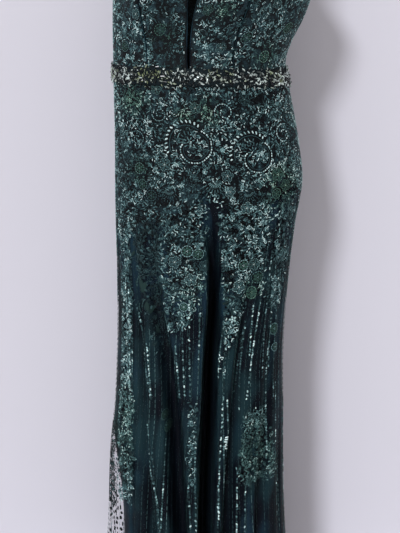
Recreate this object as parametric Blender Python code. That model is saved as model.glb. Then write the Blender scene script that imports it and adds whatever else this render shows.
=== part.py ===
"""A floor-length evening gown, worn and filled out, with nothing inside it.

The gown is cut as its maker would cut it: a princess-line bodice of eight panels with a plunging
front, two shoulder straps, a trimmed waist belt, a skirt of four embroidered net gores over a
three-panel lining, and a concealed zip down the centre back.

Metres, +Z up. The origin is midway between the tops of the two straps, where shoulders hold the
gown. The front faces -Y. Left and right are the wearer's, so the right side is at -X.
An angle goes round the body in degrees: 0 faces -Y, +90 faces +X, 180 faces +Y.
"""

from collections import namedtuple
from math import radians

import bmesh
import bpy
import numpy as np
from mathutils import Vector

# ---------------------------------------------------------------- driving sizes

WAIST_Z = -0.385
HEM_Z = -1.45
LINING_HEM_Z = -1.42
WAIST_TILT = 0.022  # the waist seam falls this much per metre towards +X, as the hips are tipped
BELT_HALF_HEIGHT = 0.0165

BODICE_CLOTH = 0.0018  # net, lining and interlining worked as one
NET_CLOTH = 0.0010
LINING_CLOTH = 0.0010
BELT_CLOTH = 0.0018
LINING_INSIDE_NET = 0.0018  # from the net's outer face to the lining's outer face
SEAM = 0.0003  # the gap between two pieces at a seam
BELT_CLEAR = 0.0006
BELT_COLUMNS = 60
BELT_END = 1.2  # degrees from the centre back to each end of the belt
MITRE_LIMIT = 1.5

FRONT_STRAP_Z = -0.130  # where the straps are sewn to the front
BACK_STRAP_Z = -0.165
STRAP_INNER, STRAP_OUTER = 27.0, 47.0  # the strap's edges, in degrees from the centre front or back
UNDERARM_Z = -0.213
CENTRE_BACK_TOP_Z = -0.190
SHOULDER_SLOPE = 0.33  # the straps fall this much outwards, as shoulders do
STRAP_COLUMNS, STRAP_STEPS = 3, 18

ZIP_TAPE_HALF_WIDTH = 0.012
ZIP_TAPE_LIFT = -0.0034  # the tape's outer face lies just inside the lining

# ---------------------------------------------------------------- the body of the gown

Section = namedtuple("Section", "z centre half_width front back")
SECTIONS = [  # half_width is along X; front and back are the depths along Y, from the gown's axis
    Section(-0.100, 0.000, 0.168, 0.086, 0.090),
    Section(-0.160, 0.000, 0.182, 0.106, 0.100),
    Section(-0.205, -0.001, 0.190, 0.116, 0.104),  # bust
    Section(-0.245, -0.004, 0.187, 0.113, 0.103),
    Section(-0.285, -0.012, 0.180, 0.107, 0.100),
    Section(-0.320, -0.021, 0.171, 0.102, 0.097),
    Section(-0.360, -0.027, 0.165, 0.099, 0.094),  # waist
    Section(-0.400, -0.024, 0.168, 0.102, 0.098),
    Section(-0.510, -0.013, 0.178, 0.110, 0.118),
    Section(-0.590, -0.009, 0.183, 0.113, 0.125),  # hip
    Section(-0.670, -0.015, 0.177, 0.113, 0.121),
    Section(-0.750, -0.019, 0.172, 0.111, 0.113),
    Section(-0.940, -0.026, 0.168, 0.110, 0.108),  # knee
    Section(-1.045, -0.028, 0.172, 0.115, 0.118),
    Section(-1.130, -0.032, 0.177, 0.121, 0.130),
    Section(-1.340, -0.033, 0.187, 0.139, 0.160),
    Section(-1.450, -0.034, 0.198, 0.150, 0.178),  # hem
]

# Each fold is a soft trough that runs down the skirt. spread is half its width, in degrees.
Fold = namedtuple("Fold", "z angle spread depth")
FOLD_FLOOR = 0.18  # the share of a fold's spread that is its floor

# The centre front turns a little on the gown's axis, and from the thigh down it lies in the
# deepest fold.
CENTRE_FRONT = [
    Fold(-0.100, -4.0, 4.0, 0.000),
    Fold(-0.160, -6.5, 4.0, 0.000),
    Fold(-0.245, -11.0, 4.0, 0.000),
    Fold(-0.360, -7.0, 4.0, 0.000),
    Fold(-0.500, -5.0, 4.0, 0.000),
    Fold(-0.600, -3.2, 4.2, 0.000),
    Fold(-0.705, 4.5, 4.6, 0.018),
    Fold(-0.800, 8.0, 5.4, 0.046),
    Fold(-0.940, 7.2, 6.0, 0.066),
    Fold(-1.150, 6.6, 6.4, 0.068),
    Fold(-1.290, 5.6, 5.6, 0.062),
    Fold(-1.450, 4.5, 6.0, 0.054),
]
FOLDS = {
    "centre_front": CENTRE_FRONT,
    "right_thigh": [
        Fold(-0.620, -39.0, 6.0, 0.000),
        Fold(-0.760, -36.0, 7.5, 0.010),
        Fold(-0.950, -23.0, 7.0, 0.024),
        Fold(-1.105, -16.0, 7.4, 0.036),
        Fold(-1.290, -11.0, 7.0, 0.043),
        Fold(-1.450, -9.0, 6.8, 0.044),
    ],
    "right_side": [
        Fold(-0.640, -54.0, 4.0, 0.000),
        Fold(-0.825, -47.5, 4.0, 0.006),
        Fold(-1.005, -41.0, 4.0, 0.009),
        Fold(-1.180, -34.0, 4.5, 0.012),
        Fold(-1.450, -25.0, 5.5, 0.020),
    ],
    "left_thigh": [
        Fold(-0.660, 34.0, 5.0, 0.000),
        Fold(-0.825, 31.0, 5.0, 0.008),
        Fold(-0.945, 27.5, 5.0, 0.013),
        Fold(-1.090, 23.8, 5.0, 0.018),
        Fold(-1.290, 20.6, 5.4, 0.024),
        Fold(-1.450, 19.5, 5.6, 0.028),
    ],
    "left_side": [
        Fold(-0.780, 58.0, 6.0, 0.000),
        Fold(-1.000, 53.0, 6.0, 0.006),
        Fold(-1.200, 47.0, 6.5, 0.011),
        Fold(-1.450, 43.0, 7.0, 0.020),
    ],
    "back_right": [
        Fold(-0.700, -146.0, 9.0, 0.000),
        Fold(-0.950, -149.0, 9.0, 0.014),
        Fold(-1.450, -153.0, 9.0, 0.034),
    ],
    "back_left": [
        Fold(-0.660, 140.0, 9.0, 0.000),
        Fold(-0.900, 145.0, 9.0, 0.012),
        Fold(-1.150, 150.0, 9.0, 0.024),
        Fold(-1.450, 152.0, 9.0, 0.036),
    ],
    "side_back_right": [
        Fold(-0.900, -112.0, 7.0, 0.000),
        Fold(-1.200, -114.0, 7.0, 0.009),
        Fold(-1.450, -116.0, 8.0, 0.018),
    ],
    "side_back_left": [
        Fold(-0.980, 118.0, 7.0, 0.000),
        Fold(-1.250, 120.0, 7.0, 0.010),
        Fold(-1.450, 120.0, 8.0, 0.018),
    ],
}

# The princess seams shape the cups: a soft swelling each side of the plunge.
Cup = namedtuple("Cup", "z depth")
CUP_ANGLE, CUP_SPREAD = 29.0, 27.0
CUPS = [Cup(-0.100, 0.0), Cup(-0.150, 0.008), Cup(-0.205, 0.020), Cup(-0.255, 0.012), Cup(-0.320, 0.0)]

# Half the opening of the plunge at each height, from the belt up to the straps.
Plunge = namedtuple("Plunge", "z half_gap")
PLUNGE = [
    Plunge(-0.130, 0.080),
    Plunge(-0.165, 0.056),
    Plunge(-0.205, 0.028),
    Plunge(-0.235, 0.0115),
    Plunge(-0.260, 0.0075),
    Plunge(-0.385, 0.0022),
]

# The lining falls straight from the knee where the net flares away from it at the right side.
Inset = namedtuple("Inset", "z depth")
LINING_INSET = [Inset(-1.130, 0.0), Inset(-1.200, 0.012), Inset(-1.265, 0.026), Inset(-1.450, 0.036)]


def read(rows, column, z):
    """A column's value at height z, on a smooth curve through the rows."""
    heights = np.array([row.z for row in rows])
    values = np.array([getattr(row, column) for row in rows])
    slopes = np.gradient(values, heights)
    z = np.clip(z, heights[-1], heights[0])
    i = np.clip(np.searchsorted(-heights, -z, side="right") - 1, 0, len(rows) - 2)
    step = heights[i + 1] - heights[i]
    t = (z - heights[i]) / step
    return (
        (1 + 2 * t) * (1 - t) ** 2 * values[i]
        + t * (1 - t) ** 2 * step * slopes[i]
        + t * t * (3 - 2 * t) * values[i + 1]
        + t * t * (t - 1) * step * slopes[i + 1]
    )


def bump(t, floor=0.0):
    """1 at the middle, easing to 0 at -1 and 1. floor is the share about the middle that stays 1."""
    return np.cos(np.clip((np.abs(t) - floor) / (1 - floor), 0, 1) * np.pi / 2) ** 2


def turned(angle):
    """The same direction, between -180 and 180 degrees."""
    return (angle + 180.0) % 360.0 - 180.0


def inward(angle, z):
    """How far folds press the cloth in from the plain section, less what the cups push out."""
    pressed = np.zeros(np.broadcast(angle, z).shape)
    for rows in FOLDS.values():
        away = turned(angle - read(rows, "angle", z)) / read(rows, "spread", z)
        pressed += np.maximum(read(rows, "depth", z), 0) * bump(away, FOLD_FLOOR)
    from_front = turned(angle - read(CENTRE_FRONT, "angle", z))
    cups = bump((np.abs(from_front) - CUP_ANGLE) / CUP_SPREAD)
    return pressed - np.maximum(read(CUPS, "depth", z), 0) * cups


def cloth(angle, z):
    """Points of the gown's outer face, as an array with X, Y and Z last."""
    angle, z = np.broadcast_arrays(np.asarray(angle, float), np.asarray(z, float))
    side, ahead = np.sin(np.radians(angle)), np.cos(np.radians(angle))
    depth = np.where(ahead > 0, read(SECTIONS, "front", z), read(SECTIONS, "back", z))
    pressed = inward(angle, z)
    x = read(SECTIONS, "centre", z) + (read(SECTIONS, "half_width", z) - pressed) * side
    y = -(depth - pressed) * ahead
    return np.stack([x, y, z], axis=-1)


def waist_z(angle):
    """The height of the waist seam, which tips with the hips."""
    across = cloth(angle, WAIST_Z)[..., 0] - read(SECTIONS, "centre", WAIST_Z)
    return WAIST_Z - WAIST_TILT * across


# ---------------------------------------------------------------- walls of cloth


def unit(vectors):
    return vectors / np.linalg.norm(vectors, axis=-1, keepdims=True)


def outwards(points):
    """For each point of a grid, the way out of the cloth, mitred so that a wall keeps its thickness.

    It is level along the first and last rows, so that pieces sewn to each other there meet squarely.
    """
    across = points[:-1, 1:] - points[1:, :-1]
    down = points[1:, 1:] - points[:-1, :-1]
    facets = unit(np.cross(down, across))
    total = np.zeros_like(points)
    count = np.zeros(points.shape[:2] + (1,))
    corners = [(slice(None, -1), slice(None, -1)), (slice(None, -1), slice(1, None))]
    corners += [(slice(1, None), slice(None, -1)), (slice(1, None), slice(1, None))]
    for corner in corners:
        total[corner] += facets
        count[corner] += 1
    mean = total / count
    mean[[0, -1], :, 2] = 0
    length = np.linalg.norm(mean, axis=-1, keepdims=True)
    return mean / length * np.minimum(1 / length, MITRE_LIMIT)


def drawn_in(points):
    """The grid with its first and last columns moved in, to leave half a seam's gap at each."""
    moved = points.copy()
    moved[:, 0] += unit(points[:, 1] - points[:, 0]) * SEAM / 2
    moved[:, -1] += unit(points[:, -2] - points[:, -1]) * SEAM / 2
    return moved


def closed_mesh(name, outer, inner):
    """A closed mesh between two grids of points, whose rows run downwards and columns towards +X in front."""
    rows, columns = outer.shape[:2]
    corners = [tuple(p) for p in outer.reshape(-1, 3)] + [tuple(p) for p in inner.reshape(-1, 3)]
    behind = rows * columns

    def at(row, column):
        return row * columns + column

    faces = []
    for row in range(rows - 1):
        for column in range(columns - 1):
            a, b = at(row, column), at(row, column + 1)
            c, d = at(row + 1, column + 1), at(row + 1, column)
            faces += [(a, d, c, b), (a + behind, b + behind, c + behind, d + behind)]
    rim = [at(0, c) for c in range(columns)]
    rim += [at(r, columns - 1) for r in range(1, rows)]
    rim += [at(rows - 1, c) for c in range(columns - 2, -1, -1)]
    rim += [at(r, 0) for r in range(rows - 2, 0, -1)]
    for a, b in zip(rim, rim[1:] + rim[:1], strict=True):
        faces.append((a, b, b + behind, a + behind))
    mesh = bpy.data.meshes.new(name)
    mesh.from_pydata(corners, [], faces)
    return mesh


def add_node(name, mesh, material, sharp=40.0):
    """The object of one piece. Its faces are turned outwards and shaded smooth."""
    shape = bmesh.new()
    shape.from_mesh(mesh)
    bmesh.ops.recalc_face_normals(shape, faces=shape.faces)
    if shape.calc_volume(signed=True) < 0:
        bmesh.ops.reverse_faces(shape, faces=shape.faces)
    shape.to_mesh(mesh)
    shape.free()
    mesh.shade_smooth()
    mesh.set_sharp_from_angle(angle=radians(sharp))
    mesh.materials.append(material)
    node = bpy.data.objects.new(name, mesh)
    bpy.context.scene.collection.objects.link(node)
    return node


def sew_panel(name, angles, heights, material, lift, thickness, press=0.0):
    """A cloth wall on the gown's form.

    angles and heights are grids of the same shape. Their first and last columns are the neighbours'
    lines, used only to set the mitre at the seams. lift is how far the outer face stands off the form,
    and press moves points in towards the axis.
    """
    points = cloth(angles, heights)
    way = np.stack([np.sin(np.radians(angles)), -np.cos(np.radians(angles)), np.zeros_like(angles)], -1)
    points = points - way * np.asarray(press)[..., None]
    out = outwards(points)
    points, out = points[:, 1:-1], out[:, 1:-1]
    outer = drawn_in(points + out * lift)
    inner = drawn_in(points + out * (lift - thickness))
    return add_node(name, closed_mesh(name, outer, inner), material)


# ---------------------------------------------------------------- materials


def finish(name, colour, roughness, metallic=0.0):
    material = bpy.data.materials.new(name)
    material.use_nodes = True
    shader = material.node_tree.nodes["Principled BSDF"]
    shader.inputs["Base Color"].default_value = (*colour, 1.0)
    shader.inputs["Roughness"].default_value = roughness
    shader.inputs["Metallic"].default_value = metallic
    return material


# ---------------------------------------------------------------- bodice

PRINCESS_AT_WAIST, PRINCESS_AT_STRAP = 29.0, 37.0
SIDE_SEAM, BACK_PRINCESS = 90.0, 147.0
BODICE_ROWS = 8


def princess(z):
    """The front princess seam's angle from the centre front: it runs up over the cup to the strap."""
    rise = np.clip((z - WAIST_Z) / (FRONT_STRAP_Z - WAIST_Z), 0, 1)
    return PRINCESS_AT_WAIST + (PRINCESS_AT_STRAP - PRINCESS_AT_WAIST) * rise**2


def plunge_edge(z):
    """The plunge's edge, in degrees from the centre front."""
    return np.degrees(np.arcsin(read(PLUNGE, "half_gap", z) / read(SECTIONS, "half_width", z)))


def bodice_top(from_front):
    """The height of the bodice's top edge, by its angle from the centre front."""
    corners = [0, STRAP_OUTER, 58, 72, SIDE_SEAM, 112, 180 - STRAP_OUTER, 180 - STRAP_INNER, 180]
    heights = [FRONT_STRAP_Z, FRONT_STRAP_Z, -0.168, -0.200, UNDERARM_Z]
    heights += [-0.198, BACK_STRAP_Z, BACK_STRAP_Z, CENTRE_BACK_TOP_Z]
    return np.interp(from_front, corners, heights)


def bodice_panel(name, side, inner_edge, outer_edge, columns, material):
    """A panel between two seams, each a function from height to degrees from the centre front.

    side is -1 for the wearer's right and 1 for the left.
    """
    shares = np.linspace(0, 1, columns + 1)
    angles = np.zeros((BODICE_ROWS + 1, columns + 3))
    heights = np.zeros_like(angles)
    for column, share in enumerate([shares[1] * -1, *shares, 1 + shares[1]]):
        top_angle = inner_edge(FRONT_STRAP_Z) * (1 - share) + outer_edge(FRONT_STRAP_Z) * share
        waist_angle = inner_edge(WAIST_Z) * (1 - share) + outer_edge(WAIST_Z) * share
        low = waist_z(read(CENTRE_FRONT, "angle", WAIST_Z) + side * waist_angle) + SEAM / 2
        above_belt = low + BELT_HALF_HEIGHT
        top = bodice_top(top_angle)
        rises = [low, *np.linspace(above_belt, top, BODICE_ROWS)]
        for row, z in enumerate(rises):
            from_front = inner_edge(z) * (1 - share) + outer_edge(z) * share
            angles[row, column] = read(CENTRE_FRONT, "angle", z) + side * from_front
            heights[row, column] = z
    order = slice(None) if side > 0 else slice(None, None, -1)
    return sew_panel(
        name, angles[::-1, order], heights[::-1, order], material, lift=0.0, thickness=BODICE_CLOTH
    )


def make_bodice(material):
    panels = [
        ("bodice_centre_front", plunge_edge, princess, 3),
        ("bodice_side_front", princess, lambda z: SIDE_SEAM, 5),
        ("bodice_side_back", lambda z: SIDE_SEAM, lambda z: BACK_PRINCESS, 5),
        ("bodice_centre_back", lambda z: BACK_PRINCESS, lambda z: 180.0, 3),
    ]
    for name, inner_edge, outer_edge, columns in panels:
        for side, word in ((-1, "right"), (1, "left")):
            bodice_panel(f"{name}_{word}", side, inner_edge, outer_edge, columns, material)


def make_strap(side, word, material):
    """A strap from the front's top edge over the shoulder to the back's, curved as half an oval."""
    across = np.linspace(STRAP_INNER, STRAP_OUTER, STRAP_COLUMNS + 1)
    front_angle = read(CENTRE_FRONT, "angle", FRONT_STRAP_Z) + side * across
    back_angle = read(CENTRE_FRONT, "angle", BACK_STRAP_Z) + side * (180.0 - across)
    front = cloth(front_angle, FRONT_STRAP_Z + SEAM)
    back = cloth(back_angle, BACK_STRAP_Z + SEAM)
    width = abs(front[-1, 0] - front[0, 0])
    fall = SHOULDER_SLOPE * width * (np.linspace(0, 1, STRAP_COLUMNS + 1) - 0.5)
    points = []
    for step in range(STRAP_STEPS + 1):
        arc = np.pi * step / STRAP_STEPS
        towards_back = (1 - np.cos(arc)) / 2
        base = front if arc < np.pi / 2 else back
        x = front[:, 0] * (1 - towards_back) + back[:, 0] * towards_back
        y = base[:, 1] * abs(np.cos(arc))
        crest = BODICE_CLOTH - fall - base[:, 2]
        points.append(np.stack([x, y, base[:, 2] + crest * np.sin(arc)], axis=-1))
    points = np.array(points)[::-1, ::side]
    out = outwards(points)
    name = f"strap_{word}"
    return add_node(name, closed_mesh(name, points, points - out * BODICE_CLOTH), material)


# ---------------------------------------------------------------- waist belt


def make_belt(material):
    """The trim's base: one band round the waist seam, open at the zip."""
    step = (360 - 2 * BELT_END) / BELT_COLUMNS
    from_front = -180 + BELT_END + step * np.arange(-1, BELT_COLUMNS + 2)
    angles = np.tile(read(CENTRE_FRONT, "angle", WAIST_Z) + from_front, (3, 1))
    heights = waist_z(angles) + np.array([[1.0], [0.0], [-1.0]]) * BELT_HALF_HEIGHT
    return sew_panel("waist_belt", angles, heights, material, BELT_CLEAR + BELT_CLOTH, BELT_CLOTH)


# ---------------------------------------------------------------- skirt

SKIRT_ROWS = [
    WAIST_Z - BELT_HALF_HEIGHT, -0.455, -0.520, -0.590, -0.660, -0.730, -0.800, -0.870,
    -0.940, -1.010, -1.080, -1.150, -1.220, -1.290, -1.355, LINING_HEM_Z, HEM_Z,
]  # fmt: skip


ZIP_ROWS = 4  # the zip ends at this row of the skirt
LEVEL_ROW = 4  # the rows tip with the waist down to this one, which is level
FOLD_WALL = (1 + FOLD_FLOOR) / 2  # half-way down a fold's wall
DEEP_FOLD = (-1, -FOLD_WALL, -FOLD_FLOOR, FOLD_FLOOR, FOLD_WALL, 1)
SOFT_FOLD = (-1, 0, 1)


def tape_angle(z):
    """Half the width of the zip's tape, in degrees."""
    return np.degrees(ZIP_TAPE_HALF_WIDTH / read(SECTIONS, "half_width", z))


GORES = ["front_left", "back_left", "back_right", "front_right"]  # round from the centre front


def edges(name, shares, z):
    """The angles of a fold's lines at one height, at these shares of its spread."""
    middle, spread = read(FOLDS[name], "angle", z), read(FOLDS[name], "spread", z)
    return [middle + share * spread for share in shares]


def skirt_lines(z):
    """Each gore's vertical lines at one height, from seam to seam, going round from the front.

    The angles on the right side are given as 180 to 360 degrees.
    """
    front = read(CENTRE_FRONT, "angle", z)
    right_side, left_side, back = front - 90, front + 90, front + 180
    beside_zip = tape_angle(z)
    outer_left = edges("left_side", (1,), z)
    outer_right = edges("right_side", (-1,), z)
    gores = {
        "front_left": [
            front,
            *edges("centre_front", DEEP_FOLD[3:], z),
            *edges("left_thigh", SOFT_FOLD, z),
            *edges("left_side", SOFT_FOLD, z),
            (outer_left[0] + left_side) / 2,
            left_side,
        ],
        "back_left": [
            left_side,
            *edges("side_back_left", SOFT_FOLD, z),
            *edges("back_left", SOFT_FOLD, z),
            back - beside_zip,
            back,
        ],
        "back_right": [
            back - 360,
            back - 360 + beside_zip,
            *edges("back_right", SOFT_FOLD, z),
            *edges("side_back_right", SOFT_FOLD, z),
            right_side,
        ],
        "front_right": [
            right_side,
            (right_side + outer_right[0]) / 2,
            *edges("right_side", SOFT_FOLD, z),
            *edges("right_thigh", DEEP_FOLD, z),
            *edges("centre_front", DEEP_FOLD[:3], z),
            front,
        ],
    }
    return {name: np.array(lines) + 360 * name.endswith("right") for name, lines in gores.items()}


def gore_grid(names, rows):
    """Angles and heights of neighbouring gores as one grid, with the next line out at each side."""
    before = GORES[GORES.index(names[0]) - 1]
    after = GORES[(GORES.index(names[-1]) + 1) % len(GORES)]
    angles = []
    for z in [WAIST_Z, *rows]:
        gores = skirt_lines(z)
        lines = list(gores[names[0]])
        for name in names[1:]:
            whole_turn = round((lines[-1] - gores[name][0]) / 360) * 360
            lines += list(gores[name][1:] + whole_turn)
        out_before = gores[before][-2] + round((lines[0] - gores[before][-1]) / 360) * 360
        out_after = gores[after][1] + round((lines[-1] - gores[after][0]) / 360) * 360
        angles.append([out_before, *lines, out_after])
    angles = np.array(angles)
    heights = np.repeat([WAIST_Z, *rows], angles.shape[1]).reshape(angles.shape)
    waist = waist_z(angles[0])
    heights[0] = waist - SEAM / 2
    heights[1] = waist - BELT_HALF_HEIGHT
    for row in range(2, LEVEL_ROW):
        share = (heights[LEVEL_ROW] - heights[row]) / (heights[LEVEL_ROW] - WAIST_Z)
        heights[row] += (waist - WAIST_Z) * share
    return angles, heights


def lining_press(angles, heights):
    towards_right = np.maximum(-np.sin(np.radians(angles)), 0) ** 4
    return np.maximum(read(LINING_INSET, "depth", heights), 0) * towards_right


def make_skirt(net, lining):
    for name in GORES:
        angles, heights = gore_grid([name], SKIRT_ROWS)
        sew_panel(f"skirt_net_{name}", angles, heights, net, lift=0.0, thickness=NET_CLOTH)
    panels = {
        "front": ["front_right", "front_left"],
        "back_left": ["back_left"],
        "back_right": ["back_right"],
    }
    for name, gores in panels.items():
        angles, heights = gore_grid(gores, SKIRT_ROWS[:-1])
        press = lining_press(angles, heights)
        sew_panel(
            f"skirt_lining_{name}", angles, heights, lining, -LINING_INSIDE_NET, LINING_CLOTH, press
        )


# ---------------------------------------------------------------- zip

ZIP_TOP_Z = CENTRE_BACK_TOP_Z - 0.010
SLIDER_WIDE, SLIDER_DEEP, SLIDER_TALL = 0.0040, 0.0022, 0.0085
SLIDER_CLEAR = 0.0005  # from the cloth to the slider
EAR_THICK, EAR_GAP, EAR_TALL, EAR_OVER_PIN = 0.0007, 0.0020, 0.0028, 0.0011
PIN_OUT = 0.0048  # from the cloth's outer face to the slider's pin
PIN_RADIUS, PIN_CLEAR = 0.0005, 0.0003
PULL_THICK, PULL_WIDE, PULL_LONG = 0.0014, 0.0046, 0.0170
PULL_EYE_RADIUS = 0.0016
PULL_NECK_END, PULL_SHOULDER, PULL_CHAMFER = 0.0030, 0.0065, 0.0020
ROUND_SIDES = 12


def make_tape(material):
    """The tape of the concealed zip, which closes the centre back seam from inside."""
    in_bodice = np.linspace(ZIP_TOP_Z + 0.004, WAIST_Z + BELT_HALF_HEIGHT, BODICE_ROWS)
    heights = np.array([*in_bodice, WAIST_Z, *SKIRT_ROWS[:ZIP_ROWS]])
    centre = read(CENTRE_FRONT, "angle", heights) + 180
    angles = np.stack([centre + tape_angle(heights) * share for share in (-2, -1, 0, 1, 2)], axis=-1)
    heights = np.tile(heights[:, None], (1, angles.shape[1]))
    return sew_panel("zip_tape", angles, heights, material, ZIP_TAPE_LIFT, 0.0010)


def zip_place():
    """An empty on the centre back seam at the zip's top, whose +Y points straight out of the cloth."""
    angle = read(CENTRE_FRONT, "angle", ZIP_TOP_Z) + 180
    here = Vector(cloth(angle, ZIP_TOP_Z))
    along = Vector(cloth(angle - 1, ZIP_TOP_Z)) - Vector(cloth(angle + 1, ZIP_TOP_Z))
    out = Vector((-along.y, along.x, 0))
    place = bpy.data.objects.new("zip_place", None)
    place.location = here
    place.rotation_euler.z = Vector((0, 1)).angle_signed(out.to_2d()) * -1
    bpy.context.scene.collection.objects.link(place)
    return place


def box(name, low, high, bevel=0.0):
    """A box between two corners, with its edges rounded."""
    shape = bmesh.new()
    bmesh.ops.create_cube(shape, size=1.0)
    low, high = Vector(low), Vector(high)
    for vertex in shape.verts:
        vertex.co = (low + high) / 2 + vertex.co * (high - low)
    if bevel:
        bmesh.ops.bevel(shape, geom=shape.edges[:], offset=bevel, segments=1, affect="EDGES")
    mesh = bpy.data.meshes.new(name)
    shape.to_mesh(mesh)
    shape.free()
    return mesh


def bar(radius, length, out=0.0):
    """A round bar along X, this far out from the cloth."""
    shape = bmesh.new()
    bmesh.ops.create_cone(
        shape, cap_ends=True, segments=ROUND_SIDES, radius1=radius, radius2=radius, depth=length
    )
    for vertex in shape.verts:
        vertex.co = Vector((vertex.co.z, vertex.co.x + out, vertex.co.y))
    mesh = bpy.data.meshes.new("bar")
    shape.to_mesh(mesh)
    shape.free()
    return mesh


def combine(node, other_mesh, operation):
    """A Boolean with a helper that shares the node's place."""
    helper = bpy.data.objects.new("helper", other_mesh)
    helper.parent = node.parent
    helper.hide_render = True
    helper.display_type = "WIRE"
    bpy.context.scene.collection.objects.link(helper)
    step = node.modifiers.new("combine", "BOOLEAN")
    step.operation = operation
    step.object = helper


def make_slider(place, material):
    """The slider: a body on the seam, with two ears that hold a pin."""
    wide, tall = SLIDER_WIDE / 2, SLIDER_TALL / 2
    face = SLIDER_CLEAR + SLIDER_DEEP
    body = box("zip_slider", (-wide, SLIDER_CLEAR, -tall), (wide, face, tall), SLIDER_CLEAR)
    slider = add_node("zip_slider", body, material)
    slider.parent = place
    ear_top = PIN_OUT + EAR_OVER_PIN
    for left in (-EAR_GAP / 2 - EAR_THICK, EAR_GAP / 2):
        low = (left, face - EAR_THICK, -EAR_TALL / 2)
        combine(slider, box("ear", low, (left + EAR_THICK, ear_top, EAR_TALL / 2)), "UNION")
    combine(slider, bar(PIN_RADIUS, EAR_GAP + EAR_THICK, PIN_OUT), "UNION")
    return slider


def make_pull(place, material):
    """The pull tab: an eye round the slider's pin, and a blade that hangs from it."""
    neck, wide = PULL_THICK / 2, PULL_WIDE / 2
    right_half = [
        (neck, 0.0),
        (neck, -PULL_NECK_END),
        (wide, -PULL_SHOULDER),
        (wide, PULL_CHAMFER - PULL_LONG),
        (wide / 2, -PULL_LONG),
    ]
    outline = right_half + [(-x, z) for x, z in reversed(right_half)]
    shape = bmesh.new()
    face = shape.faces.new([shape.verts.new((x, -PULL_THICK / 2, z)) for x, z in outline])
    made = bmesh.ops.extrude_face_region(shape, geom=[face])
    for vertex in (v for v in made["geom"] if isinstance(v, bmesh.types.BMVert)):
        vertex.co.y = PULL_THICK / 2
    mesh = bpy.data.meshes.new("zip_pull")
    shape.to_mesh(mesh)
    shape.free()
    hinge = bpy.data.objects.new("zip_hinge", None)
    hinge.parent = place
    hinge.location = (0, PIN_OUT, 0)
    bpy.context.scene.collection.objects.link(hinge)
    pull = add_node("zip_pull", mesh, material)
    pull.parent = hinge
    combine(pull, bar(PULL_EYE_RADIUS, PULL_THICK), "UNION")
    combine(pull, bar(PIN_RADIUS + PIN_CLEAR, 2 * PULL_THICK), "DIFFERENCE")
    return pull


def make_zip(ribbon, metal):
    make_tape(ribbon)
    place = zip_place()
    make_slider(place, metal)
    make_pull(place, metal)


def main():
    for leftover in list(bpy.data.objects):
        bpy.data.objects.remove(leftover)
    embroidered = finish("embroidered_net", (0.030, 0.060, 0.065), 0.55)
    satin = finish("lining_satin", (0.010, 0.022, 0.028), 0.40)
    beaded = finish("beaded_trim", (0.30, 0.33, 0.30), 0.30, 0.4)
    ribbon = finish("zip_ribbon", (0.008, 0.020, 0.024), 0.60)
    lacquer = finish("zip_metal", (0.02, 0.05, 0.05), 0.30, 0.6)
    make_bodice(embroidered)
    for side, word in ((-1, "right"), (1, "left")):
        make_strap(side, word, embroidered)
    make_belt(beaded)
    make_skirt(embroidered, satin)
    make_zip(ribbon, lacquer)


main()
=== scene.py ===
# %% [markdown]
# # An evening gown of embroidered net
#
# This lesson dresses a CAD model of a gown. The CAD gives plain walls of cloth that fit together.
# Here they get what the eye sees on the real gown: thin net over a dark satin lining, thousands of
# embroidery stitches, strings of sequins, and a belt of stones. Everything is in metres, the front
# faces -Y, and left and right are the wearer's.

from collections import namedtuple

import bpy
import numpy as np
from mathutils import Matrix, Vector
from mathutils.kdtree import KDTree


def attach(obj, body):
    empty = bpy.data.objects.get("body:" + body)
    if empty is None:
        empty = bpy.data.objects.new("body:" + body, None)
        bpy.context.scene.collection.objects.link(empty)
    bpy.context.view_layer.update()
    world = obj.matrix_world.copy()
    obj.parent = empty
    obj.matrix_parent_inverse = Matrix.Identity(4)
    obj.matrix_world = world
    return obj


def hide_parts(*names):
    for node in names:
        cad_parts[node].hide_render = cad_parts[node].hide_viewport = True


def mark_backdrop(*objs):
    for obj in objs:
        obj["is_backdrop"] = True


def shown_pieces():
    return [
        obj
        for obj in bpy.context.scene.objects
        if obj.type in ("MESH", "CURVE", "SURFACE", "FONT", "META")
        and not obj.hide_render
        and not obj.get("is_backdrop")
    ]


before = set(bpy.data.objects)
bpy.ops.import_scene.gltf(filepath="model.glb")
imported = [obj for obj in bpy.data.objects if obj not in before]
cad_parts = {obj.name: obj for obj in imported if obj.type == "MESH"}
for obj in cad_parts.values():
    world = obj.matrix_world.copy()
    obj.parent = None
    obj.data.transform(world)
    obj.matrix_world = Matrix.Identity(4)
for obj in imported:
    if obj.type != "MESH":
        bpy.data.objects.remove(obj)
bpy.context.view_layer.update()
bpy.ops.object.select_all(action="DESELECT")

# %% [markdown]
# ## The shape of the cloth
#
# A dressmaker's form has a size at each height. The table below gives the gown's: where its middle
# is, half its width, and how deep it is in front and behind. An angle goes round the form in
# degrees, with 0 at the front and +90 at the wearer's left. A smooth curve through the rows gives
# every height between them. We use the CAD's own sizes, so that the fine cloth lies on its walls.

# %% Sections of the form
WAIST_Z, HEM_Z, LINING_HEM_Z = -0.385, -1.45, -1.42
WAIST_TILT = 0.022  # the waist falls this much per metre towards +X
BELT_HALF_HEIGHT = 0.0165

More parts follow.
